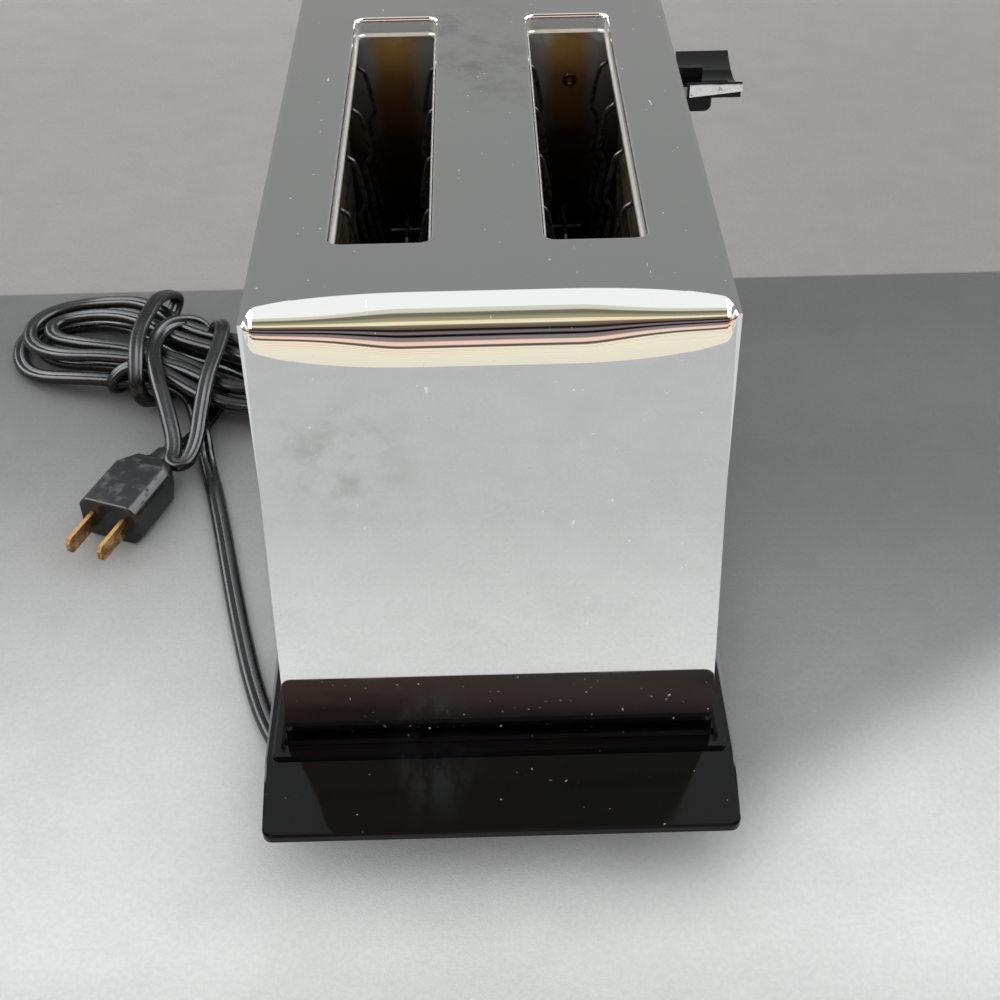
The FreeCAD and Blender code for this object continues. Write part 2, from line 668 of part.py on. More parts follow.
# Lift mechanism between the rear liner and the rear end of the shell
def make_mechanism():
    plate_z = liner_top - 6.0
    plate = box(-24, 24, liner_y + LINER_T, liner_y + 24, plate_z, plate_z + 1.2)
    plate = plate.fuse(box(-24, 24, liner_y + LINER_T, liner_y + LINER_T + 1.2, plate_z - 12, plate_z))
    plate = plate.cut(rod((0, rod_y, 100), (0, rod_y, 200), ROD_R + RUN_GAP))
    plate = plate.cut(rod((SPRING_X, rod_y, 100), (SPRING_X, rod_y, 200), 1.0))
    save("top_bracket", plate.removeSplitter())
    save("guide_rod", rod((0, rod_y, pan_top), (0, rod_y, plate_z + 2.5), ROD_R))

    clips = []
    for z in (plate_z + 1.2,):
        ring = peg((0, rod_y, z), (0, rod_y, z + 0.8), ROD_R + 2)
        ring = ring.cut(peg((0, rod_y, z - 1), (0, rod_y, z + 2), ROD_R + 0.08))
        clips.append(ring.cut(box(-0.9, 0.9, rod_y, rod_y + 9, z - 1, z + 3)))
    save("rod_clip", group(clips))

    low = web_low + WEB_T
    high = plate_z
    turns = []
    steps = SPRING_TURNS * 6
    coil_low, coil_high = low + 4, high - 4
    for k in range(steps + 1):
        a = 2 * pi * k / 6
        z = coil_low + (coil_high - coil_low) * k / steps
        turns.append((SPRING_X + SPRING_R * cos(a), rod_y + SPRING_R * sin(a), z))
    route = [(SPRING_X, rod_y, low), (SPRING_X, rod_y, low + 2)] + turns
    route += [(SPRING_X, rod_y, high - 2), (SPRING_X, rod_y, high)]
    save("lift_spring", mitred_bar(route, polygon(5, SPRING_WIRE)))


def make_carriage():
    y0, y1 = web_y, web_y + WEB_T
    web = box(-WEB_HALF_W, WEB_HALF_W, y0, y1, web_low, web_high)
    bar = box(-BAR_HALF_W, BAR_HALF_W, y0, y1, rack_top - RACK_H - 2, rack_top + 1)
    lug_end = rod_y + BUSH_R + 2.2
    lugs = [box(-BUSH_R - 3, BUSH_R + 3, y0, lug_end, web_high - WEB_T, web_high),
            box(-BUSH_R - 3, SPRING_X + 4, y0, lug_end, web_low, web_low + WEB_T)]
    frame = fused([web, bar] + lugs)
    corners = [e for e in frame.Edges if e.Length < WEB_T + 0.1 and abs(e.CenterOfMass.x) > BAR_HALF_W - 1]
    frame = frame.makeChamfer(2.0, corners)
    frame = frame.cut(peg((0, rod_y, 0), (0, rod_y, 200), BUSH_R + 0.12))
    window = round_window(0, 5.5, rack_top + 10, web_high - 18, y0)
    frame = frame.cut(window)
    keeper = box(-WEB_HALF_W - 5, -WEB_HALF_W, y0, y1 + 9, web_low, web_low + 1.5)
    keeper = keeper.fuse(box(-WEB_HALF_W - 5, -WEB_HALF_W + 1, y0, y1, web_low, web_low + 6))
    save("carriage_frame", fused([frame, keeper]))

    bush = peg((0, rod_y, web_low), (0, rod_y, web_high), BUSH_R)
    bush = bush.cut(rod((0, rod_y, 0), (0, rod_y, 200), ROD_R + RUN_GAP))
    save("carriage_bush", bush)

    for name, xc in (("bread_rack_left", -slot_x), ("bread_rack_right", slot_x)):
        front = -guard_first_y - 4
        blade = box(xc - RACK_T / 2, xc + RACK_T / 2, front, web_y, rack_top - RACK_H, rack_top)
        scallops = []
        for k in range(GUARD_COUNT - 1):
            y = guard_first_y - guard_pitch * (k + 0.5)
            scallops.append(prism([(xc - 3, y - 9, rack_top + 1), (xc - 3, y - 4, rack_top - 4),
                                   (xc - 3, y + 4, rack_top - 4), (xc - 3, y + 9, rack_top + 1)],
                                  (6, 0, 0)))
        blade = blade.cut(scallops[0].fuse(scallops[1:]))
        tines = []
        for k in range(GUARD_COUNT):
            y = guard_first_y - guard_pitch * k
            tines.append(peg((xc - TINE_HALF, y, rack_top - 1.2), (xc + TINE_HALF, y, rack_top - 1.2),
                             TINE_R, 8))
        save(name, fused([blade] + tines))

    arm_top, arm_low = lever_z + LEVER_H / 2, lever_z - LEVER_H / 2
    yb = web_y + WEB_T
    t = LEVER_T
    near = lever_y - t / 2
    far_x = KNOB_X0 + KNOB_ROOT - 1.5
    arm = prism([(8, yb, arm_low), (42, yb, arm_low), (50, near, arm_low), (far_x, near, arm_low),
                 (far_x, near + t, arm_low), (49, near + t, arm_low), (41, yb + t, arm_low),
                 (8, yb + t, arm_low)], (0, 0, LEVER_H))
    save("lever_arm", arm)
    rivets = [peg((x, yb + t, lever_z), (x, yb + t + 1.2, lever_z), 1.4, 10) for x in (10.4, 14.4)]
    save("lever_rivets", group(rivets))


def round_window(x, half, z0, z1, y):
    """A lightening slot through the carriage plate."""
    body = box(x - half, x + half, y - 5, y + 5, z0 + half, z1 - half)
    return body.fuse([rod((x, y - 5, z), (x, y + 5, z), half) for z in (z0 + half, z1 - half)])


# Lever knob: a finger trough across the end of the arm, with a bright strip on
# the face towards the front of the toaster.
def make_knob():
    lip = lever_z + KNOB_LIP
    y0, y1 = knob_y0, knob_y1
    x0, x1 = KNOB_X0, KNOB_X0 + KNOB_L
    low = y0 + (y1 - y0) * 0.72
    deep = lip - KNOB_DISH
    back = lip - 3.6
    dish = Part.Arc(V(x0, y1, back), V(x0, low, deep), V(x0, y0 + 1.2, lip)).toShape()
    under = Part.Arc(V(x0, y0, lip - 4.6), V(x0, low, deep - KNOB_WALL),
                     V(x0, y1, back - 2.0)).toShape()
    edges = [dish,
             Part.LineSegment(V(x0, y0 + 1.2, lip), V(x0, y0, lip)).toShape(),
             Part.LineSegment(V(x0, y0, lip), V(x0, y0, lip - 4.6)).toShape(),
             under,
             Part.LineSegment(V(x0, y1, back - 2.0), V(x0, y1, back)).toShape()]
    trough = Part.Face(Part.Wire(edges)).extrude(V(x1 - x0, 0, 0))
    taper = prism([(x0 + KNOB_ROOT, y0 - 1, lip - 6.4), (x1 + 1, y0 - 1, lip - 6.4),
                   (x1 + 1, y0 - 1, lip - 2.8), (x0 + KNOB_ROOT, y0 - 1, lip - 4.2)], (0, 3, 0))
    root = box(x0, x0 + KNOB_ROOT, y0 + 0.6, lever_y + 8, lever_z - LEVER_H / 2 - 2.2, lip - 3)
    corners = [e for e in root.Edges if e.BoundBox.ZLength < 0.1 and e.BoundBox.YLength > 5
               and e.CenterOfMass.z < lever_z and e.CenterOfMass.x > x0 + 1]
    root = root.makeFillet(2.4, corners)
    shape_above = Part.Face(Part.Wire([
        dish, Part.LineSegment(V(x0, y0 + 1.2, lip), V(x0, y0 - 5, lip)).toShape(),
        Part.LineSegment(V(x0, y0 - 5, lip), V(x0, y0 - 5, lip + 20)).toShape(),
        Part.LineSegment(V(x0, y0 - 5, lip + 20), V(x0, y1 + 5, lip + 20)).toShape(),
        Part.LineSegment(V(x0, y1 + 5, lip + 20), V(x0, y1 + 5, back)).toShape(),
        Part.LineSegment(V(x0, y1 + 5, back), V(x0, y1, back)).toShape()]))
    above = shape_above.extrude(V(KNOB_L + 10, 0, 0))
    above.translate(V(-5, 0, 0))
    knob = trough.fuse(root.cut(above))
    knob = knob.cut(taper)
    seat = box(x0 - 1, x0 + KNOB_ROOT - 1.5, lever_y - LEVER_T / 2, lever_y + LEVER_T / 2,
               lever_z - LEVER_H / 2, lever_z + LEVER_H / 2)
    save("lever_knob", knob.cut(seat).removeSplitter())
    strip = prism([(x0 + 0.8, y0 - STRIP_T, lip - 0.2), (x1, y0 - STRIP_T, lip - 0.2),
                   (x1, y0 - STRIP_T, lip - 2.6), (x0 + 0.8, y0 - STRIP_T, lip - 4.4)],
                  (0, STRIP_T, 0))
    save("knob_strip", strip)


# Latch that holds the carriage down: a sprung lever hangs from a pin between two
# ears, and its nose swings over the keeper on the carriage.
def make_latch():
    px, pz = LATCH_X, LATCH_Z
    y0 = rod_y - 6
    ear = [prism([(px - 5, y, pan_top), (px + 5, y, pan_top), (px + 3, y, pz + 3), (px - 3, y, pz + 3)],
                 (0, 1.2, 0)) for y in (y0 - 3.4, y0 + 5.2)]
    floor = box(px - 5, px - 3.4, y0 - 3.4, y0 + 6.4, pan_top, pan_top + 8)
    bracket = fused(ear + [floor])
    bracket = bracket.cut(peg((px, 0, pz), (px, 120, pz), LATCH_PIN_R + 0.06))
    save("latch_bracket", bracket)
    save("latch_pin", rod((px, y0 - 4, pz), (px, y0 + 7, pz), LATCH_PIN_R))

    hold = web_low - travel + WEB_T + LATCH_CLEAR
    swung = radians(LATCH_SWING)
    low = pz - (pz - hold + LATCH_NOSE * sin(swung)) / cos(swung)
    lever = prism([(px - 2.4, y0, pz), (px - 2.4, y0, low), (px + LATCH_NOSE, y0, low),
                   (px + LATCH_NOSE, y0, low + 2.5), (px + 2.4, y0, low + 4), (px + 2.4, y0, pz)],
                  (0, 3, 0))
    lever = lever.fuse(peg((px, y0 - 1.6, pz), (px, y0 + 4.6, pz), 3.2))
    lever = lever.cut(rod((px, 0, pz), (px, 120, pz), LATCH_PIN_R + RUN_GAP))
    save("latch_lever", lever.removeSplitter())


# Browning control: a knob on the lever side turns a screwed shaft, which draws the
# thermostat's slide along a rail.
def make_control():
    y, z = lever_y, CONTROL_Z
    face = half_width(z) + 0.8
    flange, grip = face + 3.0, face + CONTROL_L
    knob = peg((face, y, z), (flange, y, z), CONTROL_R, 24)
    ridges = []
    for k in range(32):
        r = CONTROL_R - (2.2 if k % 4 in (0, 1) else 3.4)
        a = 2 * pi * (k + 0.5) / 32
        ridges.append((flange, y + r * sin(a), z + r * cos(a)))
    knob = knob.fuse(prism(ridges, (grip - flange, 0, 0)))
    knob = knob.cut(peg((face - 1, y, z), (grip - 3, y, z), SHAFT_R + 0.05, 16)).removeSplitter()
    save("browning_knob", knob)
    pointer = box(face + CONTROL_L, face + CONTROL_L + 0.4, y - 0.6, y + 0.6, z + 1, z + CONTROL_R - 4)
    save("knob_pointer", pointer)

    shaft = rod((SLIDE_X - 12, y, z), (face + CONTROL_L - 3, y, z), SHAFT_R)
    collar = peg((half_width(z) - 5.2, y, z), (half_width(z) - 3.2, y, z), SHAFT_R + 2)
    save("control_shaft", shaft.fuse(collar).removeSplitter())

    slide = box(SLIDE_X - 4, SLIDE_X + 4, y - 6, y + 6, z - 6, z + 6)
    slide = slide.cut(rod((0, y, z), (80, y, z), SHAFT_R + RUN_GAP))
    slide = slide.fuse(box(SLIDE_X - 4, SLIDE_X + 4, y - 2, y + 2, z - 11, z - 6))
    save("thermostat_slide", slide.removeSplitter())

    rail_top = z - 11.3
    rail = box(SLIDE_X - 14, SLIDE_X + 12, y - 3.6, y + 3.6, rail_top - 1.2, rail_top)
    for s in (-1, 1):
        a, b = sorted((s * 2.3, s * 3.6))
        rail = rail.fuse(box(SLIDE_X - 14, SLIDE_X + 12, y + a, y + b, rail_top, rail_top + 3))
    leg = box(SLIDE_X + 8, SLIDE_X + 9.2, y - 3.6, y + 3.6, pan_top, rail_top - 1.2)
    foot = box(SLIDE_X + 1, SLIDE_X + 9.2, y - 3.6, y + 3.6, pan_top, pan_top + 1.2)
    save("thermostat_rail", fused([rail, leg, foot]))

    strip_x = CARD_OUTER_X - 4.4
    bimetal = box(strip_x - 0.4, strip_x + 0.4, liner_y + LINER_T + 1.4, liner_y + LINER_T + 6.4,
                  RAIL_LOW + 8, lever_z - travel - LEVER_H / 2 - 4)
    foot = box(strip_x - 2.4, strip_x + 2.4, liner_y + LINER_T, liner_y + LINER_T + 1.4,
               RAIL_LOW + 8, RAIL_LOW + 16)
    save("bimetal_strip", fused([bimetal, foot]))


# Switch under the carriage, terminal block at the front, and the leads
def make_electrics():
    x0, x1 = -14.0, 8.0
    y0, y1 = rod_y + 7, rod_y + 15
    block = box(x0, x1, y0, y1, pan_top, pan_top + 9)
    block = block.cut(box(-4.5, -1.5, y0 - 1, y1 + 1, pan_top + 5, pan_top + 20))
    save("switch_block", block)
    springs = []
    for x in (-9.0, 3.0):
        springs.append(mitred_bar([(x, y0 + 3, pan_top + 9), (x, y0 + 3, pan_top + 13),
                                   (x, y0 - 0.3, pan_top + 16)],
                                  [(-2, -0.25), (2, -0.25), (2, 0.25), (-2, 0.25)]))
    save("switch_springs", group(springs))

    y = -(liner_y + LINER_T + 16)
    block = box(-26, -2, y - 7, y + 7, pan_top, pan_top + 10)
    for x in (-20, -8):
        block = block.cut(peg((x, y - 20, pan_top + 5), (x, y + 20, pan_top + 5), 1.9, 8))
        block = block.cut(peg((x, y, pan_top + 5), (x, y, pan_top + 20), 1.8, 8))
    save("terminal_block", block)
    screws = []
    for x in (-20, -8):
        head = peg((x, y, pan_top + 10), (x, y, pan_top + 12), 3.0)
        screws.append(head.fuse(peg((x, y, pan_top + 7), (x, y, pan_top + 10), 1.5, 8))
                      .cut(box(x - 4, x + 4, y - 0.4, y + 0.4, pan_top + 11.2, pan_top + 13)))
    save("terminal_screws", group(screws))

    leads = []
    for n, x in enumerate((-20.0, -8.0)):
        low = pan_top + 5
        leads.append(mitred_bar([(x, y + 5.5, low), (x, y + 12, low), (x, y + 13.5, low + 4),
                                 (x, y + 13.5, liner_top - 12 - 4 * n)], polygon(8, 1.5)))
    save("inner_leads", group(leads))


# Crumb tray: a hinged plate under the skirt, with rolled knuckles on a pin
def make_tray():
    z0 = FOOT_H + 0.6
    z1 = z0 + TRAY_T
    x0, x1 = hinge_x + 1.0, SKIRT_HALF_W - SKIRT_WALL - TRAY_EDGE_GAP
    door = box(x0, x1, -tray_half_l, tray_half_l, z0, z1)
    door = door.fuse(box(x1 - 0.8, x1, -tray_half_l, tray_half_l, z0, z1 + 3))
    for y in (-30, 30):
        door = door.cut(box(x0 - 5, hinge_x + KNUCKLE_R + 1.6, y - 5.5, y + 5.5, 0, 20))
    knuckles = []
    for y in (-48, 48):
        tube = peg((hinge_x, y - 9, hinge_z), (hinge_x, y + 9, hinge_z), KNUCKLE_R)
        knuckles.append(tube)
    door = door.fuse(knuckles)
    door = door.cut(rod((hinge_x, -100, hinge_z), (hinge_x, 100, hinge_z), HINGE_PIN_R + RUN_GAP))
    for y0, y1 in ((-tray_half_l - 1, -57), (-39, 39), (57, tray_half_l + 1)):
        door = door.cut(box(x0 - 4, hinge_x + KNUCKLE_R + 0.6, y0, y1, z0 - 1, z1 + 5)
                        .common(box(x0 - 4, x0 + 0.01, y0, y1, 0, 30)))
    ribs = [box(x0 + 12, x1 - 12, y - 1.5, y + 1.5, z1, z1 + 1.2) for y in (-60, -20, 20, 60)]
    door = door.fuse(ribs).removeSplitter()
    save("crumb_tray", door)
    save("tray_hinge_pin", rod((hinge_x, -58, hinge_z), (hinge_x, 58, hinge_z), HINGE_PIN_R))
    knob = taper([((x1 - 9, 0, z0 - 4.2), 5.0), ((x1 - 9, 0, z0), 3.6)], 16)
    save("tray_knob", knob)


# Mains lead: a strain relief in the skirt, the lead over the floor, its spare length
# in a hank, its end wound round the waist as a tie, and the plug.
cord_r = CORD_D / 2
floor_z = cord_r + FLOOR_GAP
over_z = floor_z + HANK_LIFT + 2 * HANK_LAYER + 0.4


def on_hank(u, v, z):
    """A point given along and across the hank."""
    c, s = cos(HANK_TURN), sin(HANK_TURN)
    return V(HANK_X + u * c - v * s, HANK_Y + u * s + v * c, z)


def swing(x):
    """A smooth step from 0 to 1."""
    x = min(1.0, max(0.0, x))
    return x * x * (3 - 2 * x)


def hank_at(turned):
    """The cord's middle after a turn round the hank: in on the lower layer, out on
    the upper one, all loops drawn in side by side at the waist."""
    half = HANK_SWEEP / 2
    inward = (half - abs(turned - half)) / (2 * pi)
    a = HANK_FROM - turned
    u = HANK_SHIFT + (HANK_HALF_L - HANK_STEP_L * inward) * cos(a)
    tight = exp(-(u / WAIST_L) ** 2)
    loose_v = (HANK_HALF_W - HANK_STEP_W * inward) * sin(a)
    waist_v = (WAIST_HALF_W - WAIST_STEP * inward) * sin(a) + WAIST_SHIFT
    v = loose_v + (waist_v - loose_v) * tight
    lift = HANK_LIFT * swing((62 - abs(u)) / 30)
    climb = HANK_LAYER * swing((turned - half) / pi + 0.5)
    return on_hank(u, v, floor_z + lift + climb)


def hank_along(turned):
    step = 1e-3
    return (hank_at(turned + step) - hank_at(turned - step)).normalize()


def bend(start, heading, end):
    """An arc from a point and its heading to another point."""
    chord = end - start
    along = chord * (1 / chord.Length)
    aside = heading - along * heading.dot(along)
    if aside.Length < 1e-4:
        return Part.LineSegment(start, end).toShape()
    half = atan2(aside.Length, heading.dot(along))
    middle = (start + end) * 0.5 + aside.normalize() * (chord.Length / 2 * tan(half / 2))
    return Part.Arc(start, middle, end).toShape()


def biarc(p, t, q, w):
    """Two arcs between points p and q with headings t and w, and their joint."""
    v, both = q - p, t + w
    slack = 2 * (1 - t.dot(w))
    if slack < 1e-9:
        reach = v.dot(v) / (4 * v.dot(t))
    else:
        reach = (-v.dot(both) + (v.dot(both) ** 2 + slack * v.dot(v)) ** 0.5) / slack
    first, last = p + t * reach, q - w * reach
    joint = (first + last) * 0.5
    return [bend(p, t, joint), bend(joint, (last - first).normalize(), q)]


def tube(path, start, heading):
    """A pipe shell of the cord's section along a path."""
    side = heading.cross(V(0, 0, 1)).normalize()
    up = side.cross(heading)
    ring = [start + side * (cord_r * cos(a)) + up * (cord_r * sin(a))
            for a in [2 * pi * k / CORD_SIDES for k in range(CORD_SIDES)]]
    pipe = path.makePipeShell([Part.makePolygon(ring + ring[:1])], True, False)
    if pipe.Volume < 0:
        pipe = pipe.reversed()
    return pipe


def arc_wire(points, share=0.45):
    """Straight runs joined by tangent arcs, each as large as its runs allow."""
    edges, radii = [], []
    here = points[0]
    for a, b, c in zip(points, points[1:], points[2:]):
        u, w = (b - a), (c - b)
        short = min(u.Length, w.Length) * share
        u.normalize()
        w.normalize()
        turn = u.getAngle(w)
        radii.append(round(short / tan(turn / 2), 1))
        start, end = b - u * short, b + w * short
        inward = (w - u).normalize()
        middle = b + inward * (short / tan(turn / 2) * (1 / cos(turn / 2) - 1))
        edges.append(Part.LineSegment(here, start).toShape())
        edges.append(Part.Arc(start, middle, end).toShape())
        here = end
    edges.append(Part.LineSegment(here, points[-1]).toShape())
    return Part.Wire(edges), radii


def save_cord(name, path, start, heading):
    """Save a stretch of the cord; print its length and how well it fills its route."""
    solid = tube(path, start, heading)
    section = CORD_SIDES / 2 * cord_r ** 2 * sin(2 * pi / CORD_SIDES)
    print(name, "length", round(path.Length, 1), "volume/(section x length)",
          round(solid.Volume / (section * path.Length), 4), "valid", solid.isValid())
    save(name, solid)


def least_gap(points):
    """The least gap of a cord to itself, from points along its middle."""
    gap = 1e9
    lengths = [0.0]
    for a, b in zip(points, points[1:]):
        lengths.append(lengths[-1] + (b - a).Length)
    for i, a in enumerate(points):
        for j in range(i + 1, len(points)):
            if lengths[j] - lengths[i] > 4 * CORD_D:
                gap = min(gap, (points[j] - a).Length - CORD_D)
    return gap


def make_cord():
    stations = [((-SKIRT_HALF_W + SKIRT_WALL, gland_y, gland_z), SLEEVE_R, (-1, 0, 0)),
                ((-SKIRT_HALF_W - 2, gland_y, gland_z), SLEEVE_R, (-1, 0, 0))]
    steps = 4
    for k in range(1, steps + 1):
        a = SLEEVE_TURN * k / steps
        centre = (-SKIRT_HALF_W - 2 - SLEEVE_BEND_R * sin(a),
                  gland_y + SLEEVE_BEND_R * (1 - cos(a)), gland_z - SLEEVE_FALL * k / steps)
        radius = SLEEVE_R + (SLEEVE_TIP_R - SLEEVE_R) * k / steps
        stations.append((centre, radius, (-cos(a), sin(a), -0.15)))
    sleeve = taper(stations)
    flange = peg((-SKIRT_HALF_W + SKIRT_WALL, gland_y, gland_z),
                 (-SKIRT_HALF_W + SKIRT_WALL + 1.9, gland_y, gland_z), SLEEVE_R + 1.5)
    flange = flange.common(round_prism(SKIRT_HALF_W - SKIRT_WALL, skirt_half_l - SKIRT_WALL,
                                       SKIRT_R - SKIRT_WALL, FOOT_H, plate_low))
    save("strain_relief", fused([sleeve, flange]))

    tip, _, heading = stations[-1]
    tip, heading = V(*tip), V(*heading).normalize()
    entry, entry_along = hank_at(0), hank_along(0)
    lead = [tip, tip + heading * 13]
    lead += [V(x, y, z) for x, y, z in lead_points]
    lead += [entry - entry_along * 16, entry]
    path, radii = arc_wire(lead)
    print("cord_lead radii", radii)
    save_cord("cord_lead", path, tip, heading)

    count = 8 * round(HANK_SWEEP / (2 * pi))
    turns = [HANK_SWEEP * k / count for k in range(count + 1)]
    edges = []
    for a, b in zip(turns, turns[1:]):
        edges += biarc(hank_at(a), hank_along(a), hank_at(b), hank_along(b))
    path = Part.Wire(edges)
    save_cord("cord_hank", path, entry, entry_along)
    dense = [hank_at(HANK_SWEEP * k / 400) for k in range(401)]
    print("cord_hank least gap to itself", round(least_gap(dense), 2))

    leave, leave_along = hank_at(HANK_SWEEP), hank_along(HANK_SWEEP)
    tie = [leave, leave + leave_along * 13] + [on_hank(*p) for p in tie_points]
    rear = tie[-1]
    out = (tie[-1] - tie[-2]).normalize()
    path, radii = arc_wire(tie)
    print("cord_tie radii", radii)
    save_cord("cord_tie", path, leave, leave_along)

    stations = [(tuple(rear), 4.2, tuple(out)), (tuple(rear + out * 9), 5.4, tuple(out))]
    side = out.cross(V(0, 0, 1)).normalize()
    up = V(0, 0, 1)
    near, far = rear + out * 9, rear + out * (9 + PLUG_L)

    def slab(centre, half_w, half_h, bevel):
        ring = [(-half_w, -half_h + bevel), (-half_w + bevel, -half_h), (half_w - bevel, -half_h),
                (half_w, -half_h + bevel), (half_w, half_h - bevel), (half_w - bevel, half_h),
                (-half_w + bevel, half_h), (-half_w, half_h - bevel)]
        return [centre + side * a + up * b for a, b in ring]
    body = ring_solid([slab(near, PLUG_W * 0.34, PLUG_H * 0.4, 3),
                       slab(near + out * 8, PLUG_W / 2, PLUG_H / 2, 3),
                       slab(far, PLUG_W / 2, PLUG_H / 2, 3)])
    save("plug_body", fused([taper(stations), body]))
    blades = []
    for s in (-1, 1):
        root = far + side * (s * BLADE_SPACING / 2)
        corners = [root - up * (BLADE_W / 2) - side * (BLADE_T / 2),
                   root + up * (BLADE_W / 2) - side * (BLADE_T / 2)]
        end = [c + out * BLADE_L for c in corners]
        outline = [corners[0], end[0] - out * 1.5, end[0] + up * 1.5, end[1] - up * 1.5,
                   end[1] - out * 1.5, corners[1]]
        blades.append(prism([tuple(c) for c in outline], tuple(side * BLADE_T)))
    save("plug_prongs", group(blades))


# The cord's routes, as points in the order that it runs
lead_points = [(-79.5, -66.0, floor_z), (-85.5, -44.0, floor_z), (-91.5, -20.0, floor_z),
               (-98.5, 10.0, floor_z), (-104.5, 34.0, floor_z), (-109.5, 51.0, floor_z),
               (-110.8, 58.0, floor_z + HANK_LIFT), (-114.0, 68.0, floor_z + HANK_LIFT)]
tie_points = [(-12, -20, over_z - HANK_LAYER), (-17, -30.5, 10.6), (-18, -20, floor_z),
              (-22, 0, floor_z), (-26, 22, floor_z), (-27, 40, 14.4), (-25, 24, over_z),
              (-19, 9, over_z), (-14, -7, over_z), (-9, -21, over_z), (-4, -36, 14.4),
              (1, -24, floor_z), (4, 0, floor_z), (2, 18, floor_z), (-1, 34, 14.4),
              (-2, 20, over_z), (3, 0, over_z), (16, -20, over_z), (29, -36, 18),
              (37, -45, 14.3), (42, -54.5, 14.3), (50.5, -51, 14.3), (50, -41, 16), (43, -31, 21),
              (33, -20, over_z),
              (24, 0, over_z), (16, 18, over_z), (12, 33, 14.4), (14, 20, floor_z),
              (23, 2, floor_z), (28, -20, floor_z), (31, -35, floor_z),
              (32, -43, PLUG_H / 2), (33, -50.5, PLUG_H / 2)]


def make_toaster():
    os.makedirs("parts", exist_ok=True)
    make_shell()
    make_base()
    make_feet()
    make_inner_frame()
    make_elements()
    make_guards()
    make_mechanism()
    make_carriage()
    make_knob()
    make_latch()
    make_control()
    make_electrics()
    make_tray()
    make_cord()


make_toaster()
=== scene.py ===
import json
from math import cos, exp, pi, radians, sin, tan

import bpy
from mathutils import Matrix, Vector

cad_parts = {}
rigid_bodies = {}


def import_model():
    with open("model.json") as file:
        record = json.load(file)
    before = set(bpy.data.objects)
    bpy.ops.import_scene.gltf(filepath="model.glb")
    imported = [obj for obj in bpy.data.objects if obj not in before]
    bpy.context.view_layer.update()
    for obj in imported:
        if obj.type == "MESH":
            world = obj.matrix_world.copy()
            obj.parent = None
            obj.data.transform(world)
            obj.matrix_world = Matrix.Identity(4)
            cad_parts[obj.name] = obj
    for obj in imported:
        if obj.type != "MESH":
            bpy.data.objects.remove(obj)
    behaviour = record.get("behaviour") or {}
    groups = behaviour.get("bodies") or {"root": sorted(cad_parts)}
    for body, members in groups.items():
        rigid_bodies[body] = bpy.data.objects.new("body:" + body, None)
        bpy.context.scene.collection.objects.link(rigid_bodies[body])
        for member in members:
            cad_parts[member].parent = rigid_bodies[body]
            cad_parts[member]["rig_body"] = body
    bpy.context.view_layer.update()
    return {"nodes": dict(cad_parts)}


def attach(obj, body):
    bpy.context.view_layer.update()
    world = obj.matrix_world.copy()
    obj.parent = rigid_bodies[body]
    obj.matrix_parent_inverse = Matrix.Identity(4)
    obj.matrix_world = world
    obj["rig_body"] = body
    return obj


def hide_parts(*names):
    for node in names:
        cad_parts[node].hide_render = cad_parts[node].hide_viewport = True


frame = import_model()
nodes = frame["nodes"]

# Camera
# A hand-held camera before the toaster's front end, well above it, looks down the
# bright end panel and along the top with its two bread slots.
yaw, pitch, roll = 0.009, 0.705, 0.019
ahead = Vector((sin(yaw) * cos(pitch), cos(yaw) * cos(pitch), -sin(pitch)))
level = Vector((cos(yaw), -sin(yaw), 0))
down = ahead.cross(level)
rightward = level * cos(roll) + down * sin(roll)
downward = down * cos(roll) - level * sin(roll)
camera = bpy.data.objects.new("camera", bpy.data.cameras.new("camera"))
camera.data.lens, camera.data.sensor_width = 54, 36
camera.matrix_world = (Matrix.Translation((-0.00109, -0.40069, 0.36351))
                       @ Matrix((rightward, -downward, -ahead)).transposed().to_4x4())
bpy.context.scene.collection.objects.link(camera)
bpy.context.scene.camera = camera

# Mains lead
# Black two-core flex, a groove between its cores, from the strain relief over the
# floor to a hank of its spare length, which its own end ties at the waist.
FLEX_WIDTH, FLEX_HEIGHT = 0.0065, 0.0037
HANK_PLACE, HANK_TURN = (-0.128, 0.108), radians(-29)
HANK_SWEEP, HANK_TURNS_AT = radians(1432), 56
CAD_FLOOR, HANK_LIFT, HANK_LAYER = 0.0033, 0.0076, 0.0071


class Mask:
    """A value that varies over a surface; a sum or product of it adds a Math node."""

    def __init__(self, finish, socket):
        self.finish, self.socket = finish, socket

    def math(self, operation, *terms):
        return self.finish.node("Math", {"operation": operation}, dict(enumerate(terms)))

    def __add__(self, other):
        return self.math("ADD", self, other)

    def __sub__(self, other):
        return self.math("SUBTRACT", self, other)

    def __rsub__(self, other):
        return self.math("SUBTRACT", other, self)

    def __mul__(self, other):
        return self.math("MULTIPLY", self, other)

    __radd__, __rmul__ = __add__, __mul__


